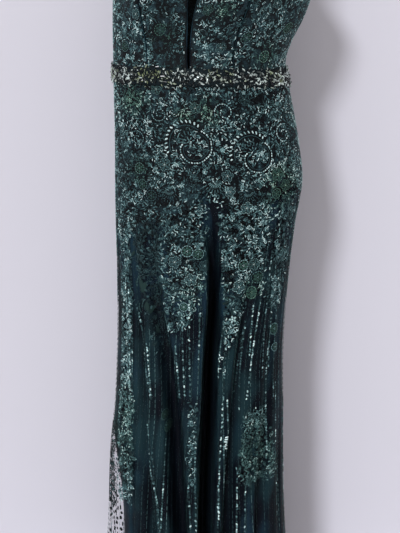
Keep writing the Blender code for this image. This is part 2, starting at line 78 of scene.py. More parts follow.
Section = namedtuple("Section", "z centre half_width front back")
SECTIONS = [
    Section(-0.100, 0.000, 0.168, 0.086, 0.090),
    Section(-0.160, 0.000, 0.182, 0.106, 0.100),
    Section(-0.205, -0.001, 0.190, 0.116, 0.104),  # bust
    Section(-0.245, -0.004, 0.187, 0.113, 0.103),
    Section(-0.285, -0.012, 0.180, 0.107, 0.100),
    Section(-0.320, -0.021, 0.171, 0.102, 0.097),
    Section(-0.360, -0.027, 0.165, 0.099, 0.094),  # waist
    Section(-0.400, -0.024, 0.168, 0.102, 0.098),
    Section(-0.510, -0.013, 0.178, 0.110, 0.118),
    Section(-0.590, -0.009, 0.183, 0.113, 0.125),  # hip
    Section(-0.670, -0.015, 0.177, 0.113, 0.121),
    Section(-0.750, -0.019, 0.172, 0.111, 0.113),
    Section(-0.940, -0.026, 0.168, 0.110, 0.108),  # knee
    Section(-1.045, -0.028, 0.172, 0.115, 0.118),
    Section(-1.130, -0.032, 0.177, 0.121, 0.130),
    Section(-1.340, -0.033, 0.187, 0.139, 0.160),
    Section(-1.450, -0.034, 0.198, 0.150, 0.178),  # hem
]


def read(rows, column, z):
    """A column's value at height z, on a smooth curve through the rows."""
    heights = np.array([row.z for row in rows])
    values = np.array([getattr(row, column) for row in rows])
    slopes = np.gradient(values, heights)
    z = np.clip(z, heights[-1], heights[0])
    i = np.clip(np.searchsorted(-heights, -z, side="right") - 1, 0, len(rows) - 2)
    step = heights[i + 1] - heights[i]
    t = (z - heights[i]) / step
    return (
        (1 + 2 * t) * (1 - t) ** 2 * values[i]
        + t * (1 - t) ** 2 * step * slopes[i]
        + t * t * (3 - 2 * t) * values[i + 1]
        + t * t * (t - 1) * step * slopes[i + 1]
    )


print("hip is", round(float(2 * read(SECTIONS, "half_width", -0.59)), 3), "m wide")

# %% [markdown]
# ## Folds and creases
#
# Net hangs in long troughs that start at the thigh and deepen to the hem. Each is a row of places,
# widths and depths down the skirt. The first table holds the big folds that the CAD has too. The
# second adds small creases, uneven in length and depth, because cloth is never as smooth as a
# form. A raised cosine with a flat floor gives each trough its soft section.

# %% Fold tables
Fold = namedtuple("Fold", "z angle spread depth")
FOLD_FLOOR = 0.18  # the share of a fold's spread that is its floor
CENTRE_FRONT = [
    Fold(-0.100, -4.0, 4.0, 0.000),
    Fold(-0.160, -6.5, 4.0, 0.000),
    Fold(-0.245, -11.0, 4.0, 0.000),
    Fold(-0.360, -7.0, 4.0, 0.000),
    Fold(-0.500, -5.0, 4.0, 0.000),
    Fold(-0.600, -3.2, 4.2, 0.000),
    Fold(-0.705, 4.5, 4.6, 0.018),
    Fold(-0.800, 8.0, 5.4, 0.046),
    Fold(-0.940, 7.2, 6.0, 0.066),
    Fold(-1.150, 6.6, 6.4, 0.068),
    Fold(-1.290, 5.6, 5.6, 0.062),
    Fold(-1.450, 4.5, 6.0, 0.054),
]
FOLDS = {
    "centre_front": CENTRE_FRONT,
    "right_thigh": [
        Fold(-0.620, -39.0, 6.0, 0.000),
        Fold(-0.760, -36.0, 7.5, 0.010),
        Fold(-0.950, -23.0, 7.0, 0.024),
        Fold(-1.105, -16.0, 7.4, 0.036),
        Fold(-1.290, -11.0, 7.0, 0.043),
        Fold(-1.450, -9.0, 6.8, 0.044),
    ],
    "right_side": [
        Fold(-0.640, -54.0, 4.0, 0.000),
        Fold(-0.825, -47.5, 4.0, 0.006),
        Fold(-1.005, -41.0, 4.0, 0.009),
        Fold(-1.180, -34.0, 4.5, 0.012),
        Fold(-1.450, -25.0, 5.5, 0.020),
    ],
    "left_thigh": [
        Fold(-0.660, 34.0, 5.0, 0.000),
        Fold(-0.825, 31.0, 5.0, 0.008),
        Fold(-0.945, 27.5, 5.0, 0.013),
        Fold(-1.090, 23.8, 5.0, 0.018),
        Fold(-1.290, 20.6, 5.4, 0.024),
        Fold(-1.450, 19.5, 5.6, 0.028),
    ],
    "left_side": [
        Fold(-0.780, 58.0, 6.0, 0.000),
        Fold(-1.000, 53.0, 6.0, 0.006),
        Fold(-1.200, 47.0, 6.5, 0.011),
        Fold(-1.450, 43.0, 7.0, 0.020),
    ],
    "back_right": [
        Fold(-0.700, -146.0, 9.0, 0.000),
        Fold(-0.950, -149.0, 9.0, 0.014),
        Fold(-1.450, -153.0, 9.0, 0.034),
    ],
    "back_left": [
        Fold(-0.660, 140.0, 9.0, 0.000),
        Fold(-0.900, 145.0, 9.0, 0.012),
        Fold(-1.150, 150.0, 9.0, 0.024),
        Fold(-1.450, 152.0, 9.0, 0.036),
    ],
    "side_back_right": [
        Fold(-0.900, -112.0, 7.0, 0.000),
        Fold(-1.200, -114.0, 7.0, 0.009),
        Fold(-1.450, -116.0, 8.0, 0.018),
    ],
    "side_back_left": [
        Fold(-0.980, 118.0, 7.0, 0.000),
        Fold(-1.250, 120.0, 7.0, 0.010),
        Fold(-1.450, 120.0, 8.0, 0.018),
    ],
}
Cup = namedtuple("Cup", "z depth")
CUP_ANGLE, CUP_SPREAD = 29.0, 27.0
CUPS = [
    Cup(-0.100, 0.000),
    Cup(-0.150, 0.008),
    Cup(-0.205, 0.020),
    Cup(-0.255, 0.012),
    Cup(-0.320, 0.000),
]

# A crease runs straight from its top to its bottom, and is deepest part of the way down.
Crease = namedtuple("Crease", "top bottom angle_top angle_bottom spread depth")
CREASE_FALL, CREASE_START, CREASE_TAIL = 1.6, 0.9, 0.75
CREASES = [
    Crease(-0.50, -0.86, -78.0, -74.0, 3.0, 0.0014),
    Crease(-0.66, -1.12, -66.0, -58.0, 2.6, 0.0024),
    Crease(-0.74, -1.30, -30.0, -2.0, 2.2, 0.0018),
    Crease(-0.70, -0.98, -20.0, -14.0, 2.0, 0.0014),
    Crease(-0.92, -1.46, -60.0, -44.0, 3.0, 0.0034),
    Crease(-1.02, -1.46, -80.0, -76.0, 3.4, 0.0042),
    Crease(-0.70, -1.10, 16.0, 17.5, 2.2, 0.0016),
    Crease(-0.78, -1.36, 44.0, 36.0, 2.6, 0.0030),
    Crease(-0.62, -1.02, 68.0, 66.0, 3.4, 0.0022),
    Crease(-0.98, -1.46, 72.0, 66.0, 3.6, 0.0046),
    Crease(-0.88, -1.46, 84.0, 86.0, 3.0, 0.0036),
    Crease(-0.60, -1.20, 98.0, 100.0, 3.2, 0.0030),
    Crease(-0.76, -1.46, 130.0, 134.0, 3.6, 0.0044),
    Crease(-0.90, -1.46, 164.0, 170.0, 3.4, 0.0050),
    Crease(-0.72, -1.46, -166.0, -172.0, 3.4, 0.0042),
    Crease(-0.84, -1.46, -130.0, -134.0, 3.6, 0.0046),
    Crease(-0.64, -1.16, -98.0, -100.0, 3.2, 0.0028),
    Crease(-0.95, -1.46, -94.0, -97.0, 3.2, 0.0040),
    Crease(-0.24, -0.37, -60.0, -66.0, 3.4, 0.0012),
    Crease(-0.22, -0.34, -24.0, -22.0, 3.6, 0.0018),
    Crease(-0.25, -0.37, 58.0, 50.0, 3.6, 0.0012),
    Crease(-0.22, -0.37, 118.0, 126.0, 4.0, 0.0016),
    Crease(-0.24, -0.37, -120.0, -130.0, 4.0, 0.0016),
]
print(len(FOLDS), "folds and", len(CREASES), "creases")

# %% [markdown]
# Two functions turn those tables into points. The first adds up how far the folds press the cloth
# in. The second walks round the section at a height and gives the cloth's outer face. Working on
# whole arrays at once keeps this fast, because we will ask for hundreds of thousands of points.


# %% Points of the outer face
def bump(t, floor=0.0):
    """1 at the middle, easing to 0 at -1 and 1. floor is the share in the middle that stays 1."""
    return np.cos(np.clip((np.abs(t) - floor) / (1 - floor), 0, 1) * np.pi / 2) ** 2


def turned(angle):
    """The same direction, between -180 and 180 degrees."""
    return (angle + 180.0) % 360.0 - 180.0


def inward(angle, z):
    """How far folds and creases press the cloth in, less what the cups push out."""
    pressed = np.zeros(np.broadcast(angle, z).shape)
    for rows in FOLDS.values():
        away = turned(angle - read(rows, "angle", z)) / read(rows, "spread", z)
        pressed += np.maximum(read(rows, "depth", z), 0) * bump(away, FOLD_FLOOR)
    for crease in CREASES:
        share = (z - crease.top) / (crease.bottom - crease.top)
        middle = crease.angle_top + (crease.angle_bottom - crease.angle_top) * share
        along = bump(np.clip(share * CREASE_FALL - CREASE_START, -1, CREASE_TAIL))
        pressed += crease.depth * along * bump(turned(angle - middle) / crease.spread) * (share > 0)
    from_front = turned(angle - read(CENTRE_FRONT, "angle", z))
    cups = bump((np.abs(from_front) - CUP_ANGLE) / CUP_SPREAD)
    return pressed - np.maximum(read(CUPS, "depth", z), 0) * cups


def cloth(angle, z):
    """Points of the gown's outer face, as an array with X, Y and Z last."""
    angle, z = np.broadcast_arrays(np.asarray(angle, float), np.asarray(z, float))
    side, ahead = np.sin(np.radians(angle)), np.cos(np.radians(angle))
    depth = np.where(ahead > 0, read(SECTIONS, "front", z), read(SECTIONS, "back", z))
    pressed = inward(angle, z)
    x = read(SECTIONS, "centre", z) + (read(SECTIONS, "half_width", z) - pressed) * side
    y = -(depth - pressed) * ahead
    return np.stack([x, y, z], axis=-1)


def front(z):
    """The angle of the centre front, which sways with the figure and then follows its fold."""
    return read(CENTRE_FRONT, "angle", z)


SHADE_FROM, SHADE_OVER = 0.004, 0.020  # how deep a fold's shade starts, and over what it grows


def folded(angle, z):
    """How far a place lies inside a fold, from 0 to 1, where colour is darkened as painted shade.
    """
    return np.clip((inward(angle, z) - SHADE_FROM) / SHADE_OVER, 0, 1)


def waist_z(angle):
    """The height of the waist seam, which tips with the hips."""
    from_centre = cloth(angle, WAIST_Z)[..., 0] - read(SECTIONS, "centre", WAIST_Z)
    return WAIST_Z - WAIST_TILT * from_centre


# %% [markdown]
# ## A table of the form
#
# Stitches need a point, a way out of the cloth and a scale at any angle and height. Working those
# out each time would be slow. So we sample the form once on a fine grid, and read between its
# points afterwards, as one reads between the lines of a printed table.

# %% Sample the form
STEP_ANGLE, STEP_Z, TOP_Z = 0.5, 0.005, -0.10
GRID_ANGLES = np.arange(-180, 180 + STEP_ANGLE / 2, STEP_ANGLE)
GRID_HEIGHTS = np.arange(TOP_Z, HEM_Z - 0.02, -STEP_Z)
GRID_POINTS = cloth(GRID_ANGLES[None, :], GRID_HEIGHTS[:, None])


def unit(vectors):
    return vectors / np.linalg.norm(vectors, axis=-1, keepdims=True)


round_the_form = np.gradient(GRID_POINTS, STEP_ANGLE, axis=1)
up_the_form = np.gradient(GRID_POINTS, -STEP_Z, axis=0)
GRID_PER_DEGREE = np.linalg.norm(round_the_form, axis=-1)
GRID_ACROSS, GRID_UP = unit(round_the_form), unit(up_the_form)
GRID_OUT = unit(np.cross(GRID_ACROSS, GRID_UP))


def between(table, row, column):
    """A table's values between its entries, at these rows and columns and parts of them."""
    r, c = row.astype(int), np.clip(column.astype(int), 0, table.shape[1] - 2)
    fr, fc = row - r, column - c
    if table.ndim == 3:
        fr, fc = fr[..., None], fc[..., None]
    upper = table[r, c] * (1 - fc) + table[r, c + 1] * fc
    lower = table[r + 1, c] * (1 - fc) + table[r + 1, c + 1] * fc
    return upper * (1 - fr) + lower * fr


def grid_row(z):
    """Where a height lies among the grid's rows."""
    return np.clip((TOP_Z - z) / STEP_Z, 0, len(GRID_HEIGHTS) - 1.001)


def look_up(table, angle, z):
    """A value of the sampled form between the grid's points."""
    return between(table, grid_row(z), (turned(angle) + 180.0) / STEP_ANGLE)


def on_form(angle, z, lift=0.0):
    """Points this far outside the cloth's outer face."""
    angle, z = np.broadcast_arrays(np.asarray(angle, float), np.asarray(z, float))
    lift = np.broadcast_to(np.asarray(lift, float), angle.shape)
    points = look_up(GRID_POINTS, angle, z)
    points[..., 2] = z
    return points + look_up(GRID_OUT, angle, z) * lift[..., None]


def form_frames(angle, z):
    """Points of the form, with the ways across, up and out of the cloth there."""
    ways = [look_up(table, angle, z) for table in (GRID_ACROSS, GRID_UP, GRID_OUT)]
    return [on_form(angle, z), *ways]


print("sampled", GRID_POINTS.shape[0] * GRID_POINTS.shape[1], "points")
check = on_form(np.array([0.0]), np.array([-0.59]))[0]
print("centre front at the hip:", np.round(check, 3).tolist())

# %% [markdown]
# ## Materials from expressions
#
# Blender's shader nodes do maths, but wiring them by hand hides the idea. The class Wire stands
# for a socket and overloads the operators, so that `1 - mask * 0.5` adds the nodes for us. Finish
# makes one material, sets the values that are the same all over, and adds any node we ask for.


# %% Shader helpers
class Wire:
    """A shader socket that is added, subtracted and multiplied like a number."""

    def __init__(self, finish, socket):
        self.finish, self.socket = finish, socket

    def maths(self, operation, first, second):
        made = self.finish.node("ShaderNodeMath", {"operation": operation}, {0: first, 1: second})
        return made["Value"]

    def __add__(self, other):
        return self.maths("ADD", self, other)

    def __sub__(self, other):
        return self.maths("SUBTRACT", self, other)

    def __rsub__(self, other):
        return self.maths("SUBTRACT", other, self)

    def __mul__(self, other):
        return self.maths("MULTIPLY", self, other)

    __radd__, __rmul__ = __add__, __mul__


def set_stops(ramp, stops):
    """Gives a colour ramp these stops, each a place from 0 to 1 and a colour."""
    while len(ramp.elements) > 1:
        ramp.elements.remove(ramp.elements[-1])
    for index, (place, colour) in enumerate(stops):
        stop = ramp.elements.new(place) if index else ramp.elements[0]
        stop.position, stop.color = place, (*colour, 1.0)


class Finish:
    """One material. Values that are the same all over are set on the shader's own sockets."""

    def __init__(self, name, **values):
        self.material = bpy.data.materials.new(name)
        self.material.use_nodes = True
        self.tree = self.material.node_tree
        self.shader = self.tree.nodes["Principled BSDF"]
        for socket, value in values.items():
            self.shader.inputs[socket.replace("_", " ")].default_value = value
        self.place = self.node("ShaderNodeTexCoord")["Object"]

    def node(self, kind, settings=None, inputs=None):
        """Adds a node, sets it, links its inputs, and gives its outputs by name."""
        made = self.tree.nodes.new(kind)
        for key, value in (settings or {}).items():
            if key == "stops":
                set_stops(made.color_ramp, value)
            else:
                setattr(made, key, value)
        for key, value in (inputs or {}).items():
            if isinstance(value, Wire):
                self.tree.links.new(value.socket, made.inputs[key])
            else:
                made.inputs[key].default_value = value
        return {output.name: Wire(self, output) for output in made.outputs}

    def feed(self, **sockets):
        for name, wire in sockets.items():
            self.tree.links.new(wire.socket, self.shader.inputs[name.replace("_", " ")])

    def noise(self, scale, detail=2.0, roughness=0.5, vector=None):
        inputs = {"Vector": vector or self.place, "Scale": scale, "Detail": detail}
        return self.node("ShaderNodeTexNoise", None, {**inputs, "Roughness": roughness})["Fac"]

    def cells(self, scale, feature="F1"):
        inputs = {"Vector": self.place, "Scale": scale}
        return self.node("ShaderNodeTexVoronoi", {"feature": feature}, inputs)["Distance"]

    def ease(self, value, low, high):
        """0 below low and 1 above high, with a smooth step between."""
        inputs = {"Value": value, "From Min": low, "From Max": high}
        smooth = {"interpolation_type": "SMOOTHSTEP"}
        return self.node("ShaderNodeMapRange", smooth, inputs)["Result"]

    def ramp(self, value, stops):
        """A colour that goes through the stops as the value goes from 0 to 1."""
        return self.node("ShaderNodeValToRGB", {"stops": stops}, {"Fac": value})["Color"]

    def mix(self, factor, first, second):
        """A blend of two colours."""
        made = self.tree.nodes.new("ShaderNodeMix")
        made.data_type = "RGBA"
        for index, value in ((0, factor), (6, first), (7, second)):
            if isinstance(value, Wire):
                self.tree.links.new(value.socket, made.inputs[index])
            elif index:
                made.inputs[index].default_value = (*value, 1.0)
            else:
                made.inputs[index].default_value = value
        return Wire(self, made.outputs[2])

    def attribute(self, name):
        return self.node("ShaderNodeAttribute", {"attribute_name": name})["Fac"]

    def stretched(self, scale):
        """The piece's UV map, which is in metres, stretched by this much each way."""
        uv = self.node("ShaderNodeUVMap", {"uv_map": "cut"})["UV"]
        return self.node("ShaderNodeMapping", None, {"Vector": uv, "Scale": scale})["Vector"]

    def relief(self, height, distance, strength=1.0):
        """Feeds a bump of this depth, in metres, to the shader's normal."""
        inputs = {"Height": height, "Distance": distance, "Strength": strength}
        self.feed(Normal=self.node("ShaderNodeBump", None, inputs)["Normal"])


# %% [markdown]
# ## The cloth finishes
#
# Net is mostly holes, so its alpha is low, and the satin below shows through it. Where the net is
# worked, fine ground stitches fill it: an attribute called worked says how densely, and a noise
# breaks it into threads. Satin is dark, with a fine slub along its threads. Its colour also holds
# painted sheen and shade, in long streaks and soft clouds, and the painted sheen turns between blue
# and green. An attribute paints shade into the satin inside the folds. The embroidery stitches
# take their brightness and hue from two attributes, because each stitch on the real gown catches
# the light in its own way.

# %% Net, satin and thread
VOID = (0.0011, 0.0026, 0.0040)
TEAL = (0.019, 0.050, 0.064)
NIGHT = (0.0014, 0.0026, 0.0060)
# the colours of the satin's painted sheen, a bluer one and a greener one
SATIN_SHEEN_BLUE, SATIN_SHEEN_GREEN = (0.010, 0.030, 0.050), (0.010, 0.031, 0.039)
THREAD_STOPS = [
    (0.00, (0.0012, 0.0030, 0.0042)),
    (0.35, (0.011, 0.033, 0.038)),
    (0.60, (0.050, 0.120, 0.132)),
    (0.80, (0.225, 0.405, 0.420)),
    (1.00, (0.710, 0.920, 0.920)),
]
LEAF_STOPS = [
    (0.00, (0.003, 0.008, 0.007)),
    (0.35, (0.009, 0.034, 0.029)),
    (0.60, (0.036, 0.105, 0.080)),
    (0.80, (0.120, 0.260, 0.195)),
    (1.00, (0.400, 0.620, 0.500)),
]


def ground_pattern(finish):
    """Fine ground stitches, a few millimetres long, as a mask and a height."""
    swirl = finish.noise(260.0, 1.0)
    threads = finish.cells(420.0)
    return finish.ease(swirl + threads * 0.5, 0.52, 0.74), threads


def ground_colour(finish, threads, least=0.0):
    """Dark gaps and teal patches, a centimetre or two across, broken into threads."""
    patches = finish.ease(finish.noise(75.0, 2.0), 0.46, 0.64)
    broad = finish.ease(finish.noise(13.0, 1.0), 0.36, 0.58) * 0.8 + 0.2
    return finish.mix((patches * broad + least) * (1 - threads * 0.9), VOID, TEAL)


def make_net():
    finish = Finish("net_cloth", Roughness=0.6, Specular_IOR_Level=0.12)
    mask, threads = ground_pattern(finish)
    ground = finish.ease(finish.attribute("worked") - mask * 0.45, 0.25, 0.45)
    mesh_lines = finish.ease(finish.cells(700.0, "DISTANCE_TO_EDGE"), 0.16, 0.05)
    finish.feed(
        Base_Color=ground_colour(finish, threads),
        Alpha=mesh_lines * 0.05 + ground * 0.88 + 0.005,
    )
    finish.relief(threads * -1, 0.0004, 0.6)
    return finish.material


def make_satin():
    finish = Finish("satin_cloth", Specular_IOR_Level=0.08)
    slub = finish.noise(1.0, 3.0, vector=finish.stretched((900.0, 30.0, 1.0)))
    # painted sheen and shade: streaks and clouds stand in for light on soft folds; the slub is the
    # weave
    streaks = finish.noise(1.0, 2.0, vector=finish.stretched((38.0, 1.7, 1.0)))
    sheen_and_shade_cloud = finish.ease(finish.noise(11.0, 2.0), 0.36, 0.62)
    light = finish.ease(streaks + sheen_and_shade_cloud * 0.26, 0.46, 0.90) + slub * 0.05
    shimmer = finish.mix(finish.ease(finish.noise(6.0, 1.0), 0.38, 0.60), SATIN_SHEEN_BLUE, SATIN_SHEEN_GREEN)
    # painted shade: the fold attribute darkens the satin deep in its folds
    finish.feed(
        Base_Color=finish.mix(light * (1 - finish.attribute("folded") * 0.9), NIGHT, shimmer),
        Roughness=slub * 0.15 + 0.5,
    )
    finish.relief(slub + streaks * 3, 0.0005, 0.6)
    return finish.material


def make_lace_ground():
    finish = Finish("lace_ground", Roughness=0.6, Specular_IOR_Level=0.15)
    mask, threads = ground_pattern(finish)
    finish.feed(Base_Color=ground_colour(finish, threads, 0.03))
    finish.relief(mask - threads, 0.0005, 0.8)
    return finish.material


def make_thread():
    finish = Finish("embroidery_thread", Metallic=0.15, Specular_IOR_Level=0.25)
    grain = finish.noise(1500.0, 1.0)
    tone = finish.attribute("tone") * (grain * 0.3 + 0.85)
    plain, leafy = finish.ramp(tone, THREAD_STOPS), finish.ramp(tone, LEAF_STOPS)
    finish.feed(
        Base_Color=finish.mix(finish.attribute("green"), plain, leafy),
        Roughness=0.85 - tone * 0.43,
    )
    finish.relief(grain, 0.0002, 0.5)
    return finish.material


NET, SATIN, LACE_GROUND, THREAD = make_net(), make_satin(), make_lace_ground(), make_thread()
print("cloth finishes:", [m.name for m in (NET, SATIN, LACE_GROUND, THREAD)])

# %% [markdown]
# ## Making a piece from arrays
#
# Cloth with folds has no primitive to start from, so its mesh is made from arrays of points. The
# helper below links such a mesh, shades it, gives it its attributes, says which CAD body it rides
# on, and hides the CAD nodes that it stands in for.


# %% Piece helper
def add_piece(name, points, faces, material, replaces=(), attributes=None, smooth=True):
    """A piece from points and faces, with a value at each point for each of its attributes."""
    mesh = bpy.data.meshes.new(name)
    faces = faces if isinstance(faces, list) else faces.tolist()
    mesh.from_pydata(points.reshape(-1, 3).tolist(), [], faces)
    for key, values in (attributes or {}).items():
        mesh.attributes.new(key, "FLOAT", "POINT").data.foreach_set("value", values.ravel())
    if smooth:
        mesh.shade_smooth()
    mesh.materials.append(material)
    piece = bpy.data.objects.new(name, mesh)
    bpy.context.scene.collection.objects.link(piece)
    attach(piece, "gown")
    if replaces:
        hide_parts(*replaces)
    return piece


def grid_faces(rows, columns):
    """Four-sided faces of a grid of points. They face outwards when columns run to +X in front."""
    corner = np.arange(rows * columns).reshape(rows, columns)
    a, b, c, d = corner[:-1, :-1], corner[:-1, 1:], corner[1:, 1:], corner[1:, :-1]
    return np.stack([a, d, c, b], axis=-1).reshape(-1, 4)


def travelled(points):
    """How far along the cloth each point of a grid is from its row's first point."""
    lengths = np.linalg.norm(np.diff(points, axis=1), axis=-1)
    return np.concatenate([np.zeros((len(points), 1)), np.cumsum(lengths, axis=1)], axis=1)


def give_uv(piece, across, along):
    """A UV map in metres of cloth: across the piece, and down it."""
    layer = piece.data.uv_layers.new(name="cut")
    corners = np.empty(len(piece.data.loops), int)
    piece.data.loops.foreach_get("vertex_index", corners)
    layer.data.foreach_set("uv", np.stack([across.ravel(), along.ravel()], -1)[corners].ravel())


def thicken(piece, thickness):
    """Turns an open face into a thin closed wall, whose outer face stays where it was."""
    bpy.context.view_layer.objects.active = piece
    step = piece.modifiers.new("wall", "SOLIDIFY")
    step.thickness, step.offset = thickness, -1.0
    step.use_even_offset = True
    step.use_rim = True
    bpy.ops.object.modifier_apply(modifier=step.name)


# %% [markdown]
# ## Where the gown is worked
#
# The embroidery is close over the bodice and hips, and below them it hangs in clusters that taper
# to drips. A function gives how densely a place is worked, from 0 to 1. The hips end at a height
# that depends on the angle. Each cluster is a column that narrows or widens between two places on
# the skirt.

# %% Worked areas
HIP_ANGLES = [-180, -150, -120, -90, -66, -46, -26, -10, 0, 8, 22, 40, 52, 70, 90, 120, 150, 180]
HIP_ENDS = [
    -0.62, -0.67, -0.61, -0.66, -0.70, -0.68, -0.66, -0.63, -0.595, -0.62, -0.66, -0.63,
    -0.615, -0.60, -0.62, -0.60, -0.67, -0.62,
]  # fmt: skip

# wide and narrow are a cluster's widths at its top and bottom, in metres. light is how bright its
# stitches are, and ground is how much of the net between them is filled.
Cluster = namedtuple("Cluster", "top angle_top bottom angle_bottom wide narrow light ground")
CLUSTERS = [
    Cluster(-0.60, -15.0, -0.810, -11.0, 0.096, 0.070, 1.00, 0.8),
    Cluster(-0.79, -11.0, -0.870, -14.0, 0.060, 0.020, 1.00, 0.6),
    Cluster(-0.64, -24.0, -0.880, -21.5, 0.050, 0.016, 1.00, 0.6),
    Cluster(-0.60, 25.0, -0.810, 26.0, 0.100, 0.084, 1.00, 0.8),
    Cluster(-0.79, 24.0, -0.905, 18.5, 0.056, 0.012, 1.00, 0.6),
    Cluster(-0.60, -44.0, -0.930, -28.0, 0.090, 0.016, 0.55, 0.5),
    Cluster(-0.66, -62.0, -1.050, -60.0, 0.036, 0.026, 0.92, 0.5),
    Cluster(-1.00, -60.0, -1.240, -52.0, 0.046, 0.038, 0.88, 0.6),
    Cluster(-1.07, -82.0, -1.260, -76.0, 0.060, 0.056, 0.10, 0.0),
    Cluster(-1.03, 41.0, -1.190, 44.0, 0.050, 0.100, 0.88, 0.6),
    Cluster(-1.01, -5.0, -1.180, -2.4, 0.018, 0.010, 1.00, 0.5),
    Cluster(-0.59, 60.0, -0.840, 60.0, 0.060, 0.030, 0.95, 0.4),
    Cluster(-0.60, 92.0, -0.840, 90.0, 0.070, 0.016, 0.80, 0.6),
    Cluster(-0.60, 124.0, -0.860, 126.0, 0.100, 0.018, 0.85, 0.6),
    Cluster(-0.60, 164.0, -0.880, 162.0, 0.090, 0.016, 0.95, 0.7),
    Cluster(-0.60, -164.0, -0.870, -162.0, 0.090, 0.016, 0.95, 0.7),
    Cluster(-0.60, -126.0, -0.900, -127.0, 0.100, 0.018, 0.85, 0.6),
    Cluster(-0.60, -92.0, -0.840, -90.0, 0.070, 0.016, 0.75, 0.6),
    Cluster(-1.03, 104.0, -1.210, 104.0, 0.050, 0.060, 0.80, 0.5),
    Cluster(-1.02, 172.0, -1.200, 174.0, 0.050, 0.060, 0.80, 0.5),
    Cluster(-1.04, -140.0, -1.220, -141.0, 0.050, 0.060, 0.80, 0.5),
]
CLUSTER_EDGE, CLUSTER_SOFT, CLUSTER_END = 1.25, 2.2, 12
HIP_SOFT = 0.03  # metres over which the hip's work thins out


def cluster_share(cluster, angle, z):
    """1 on a cluster's centre line, falling to 0 at its edge."""
    t = (z - cluster.top) / (cluster.bottom - cluster.top)
    middle = cluster.angle_top + (cluster.angle_bottom - cluster.angle_top) * t
    half = (cluster.wide + (cluster.narrow - cluster.wide) * np.clip(t, 0, 1)) / 2
    off = np.abs(turned(angle - middle)) * look_up(GRID_PER_DEGREE, angle, z) / half
    ends = np.clip(np.minimum(t, 1 - t) * CLUSTER_END, 0, 1)
    return np.clip((CLUSTER_EDGE - off) * CLUSTER_SOFT, 0, 1) * ends * (t > 0) * (t < 1)


def worked(angle, z):
    """How closely a place is embroidered, how bright the stitches are, and how full the ground."""
    angle, z = np.broadcast_arrays(np.asarray(angle, float), np.asarray(z, float))
    hip_end = np.interp(turned(angle), HIP_ANGLES, HIP_ENDS)
    close = np.clip((z - hip_end) / HIP_SOFT + 0.5, 0, 1)
    light, ground = np.where(close > 0, 1.0, 0.0), close.copy()
    for cluster in CLUSTERS:
        share = cluster_share(cluster, angle, z)
        light = np.where(share > close, cluster.light, light)
        ground = np.maximum(ground, share * cluster.ground)
        close = np.maximum(close, share)
    return close, light, ground


print(len(CLUSTERS), "clusters; worked at the hip:", float(worked(20.0, -0.5)[0]))

# %% [markdown]
# ## The skirt: net over satin
#
# The skirt has four gores of net, and a lining in three panels. Each column of a gore's mesh keeps
# its share of the cloth's own width at every height, measured round the folds. That is how woven
# cloth hangs: its threads run down into the folds, and the columns are the threads.

# %% Gores
SIDE, BACK = 90.0, 180.0
GORES = {
    "front_right": (-SIDE, 0.0),
    "front_left": (0.0, SIDE),
    "back_left": (SIDE, BACK),
    "back_right": (-BACK, -SIDE),
}
SEAM = 0.0003  # the gap between two pieces of cloth
SAMPLES = 500  # points along a gore's row, to measure it by


def grain_table(first, last, columns):
    """For each height of the form, the angles that split a gore's cloth into equal widths."""
    table = np.empty((len(GRID_HEIGHTS), columns))
    for row, z in enumerate(GRID_HEIGHTS):
        angles = float(front(z)) + np.linspace(first, last, SAMPLES)
        points = on_form(angles, np.full(SAMPLES, z))
        along = np.concatenate([[0], np.cumsum(np.linalg.norm(np.diff(points, axis=0), axis=-1))])
        inset = SEAM / 2
        table[row] = np.interp(np.linspace(inset, along[-1] - inset, columns), along, angles)
    return table


def grain_at(table, z):
    """The angles of all of a gore's threads at each of these heights."""
    row = grid_row(z)
    r = row.astype(int)
    f = (row - r)[:, None]
    return table[r] * (1 - f) + table[r + 1] * f


def skirt_heights(hem, rows):
    """Even heights from the waist to a hem. The top ones are tipped with the waist by tip_rows."""
    return np.linspace(WAIST_Z - SEAM, hem, rows)


TIP_FADE = 0.2  # metres below the waist over which its tilt fades away


def tip_rows(angles, heights):
    """Heights for each point, so that the cloth's top edge follows the tipped waist seam."""
    tip = waist_z(angles[0]) - WAIST_Z
    fade = np.clip((heights - (WAIST_Z - TIP_FADE)) / TIP_FADE, 0, 1)
    return heights[:, None] + tip[None, :] * fade[:, None]


NET_THICK, NET_COLUMNS, NET_ROWS = 0.0005, {"front": 76, "back": 52}, 128
GRAIN = {}
for gore, (first, last) in GORES.items():
    columns = NET_COLUMNS[gore.split("_")[0]]
    GRAIN[gore] = grain_table(first, last, columns)
    heights = skirt_heights(HEM_Z, NET_ROWS)
    angles = grain_at(GRAIN[gore], heights)
    levels = tip_rows(angles, heights)
    points = on_form(angles, levels)
    ground = worked(angles, levels)[2]
    faces, node = grid_faces(NET_ROWS, columns), f"skirt_net_{gore}"
    fullness = {"worked": ground}
    piece = add_piece(f"net_{gore}", points, faces, NET, [node], fullness)
    give_uv(piece, travelled(points), levels)
    thicken(piece, NET_THICK)

# %% [markdown]
# The lining lies inside the net on the same folds. At the wearer's right it falls straight from
# the knee while the net flares, which is why the wall behind shows through the net there.

# %% Lining
Inset = namedtuple("Inset", "z depth")
LINING_INSET = [
    Inset(-1.090, 0.000),
    Inset(-1.130, 0.007),
    Inset(-1.195, 0.020),
    Inset(-1.280, 0.030),
    Inset(-1.450, 0.038),
]
LINING_LIFT, LINING_THICK, LINING_ROWS = -0.0019, 0.0007, 96
LINING_PANELS = {
    "front": (-SIDE, SIDE, 110),
    "back_left": (SIDE, BACK, 40),
    "back_right": (-BACK, -SIDE, 40),
}


def drawn_in(points, angles, z):
    """The lining's points, moved in at the wearer's right below the knee."""
    side, ahead = np.sin(np.radians(angles)), np.cos(np.radians(angles))
    press = np.maximum(read(LINING_INSET, "depth", z), 0) * np.maximum(-side, 0) ** 4
    way = np.stack([side, -ahead, np.zeros_like(angles)], -1)
    return points - way * press[..., None]


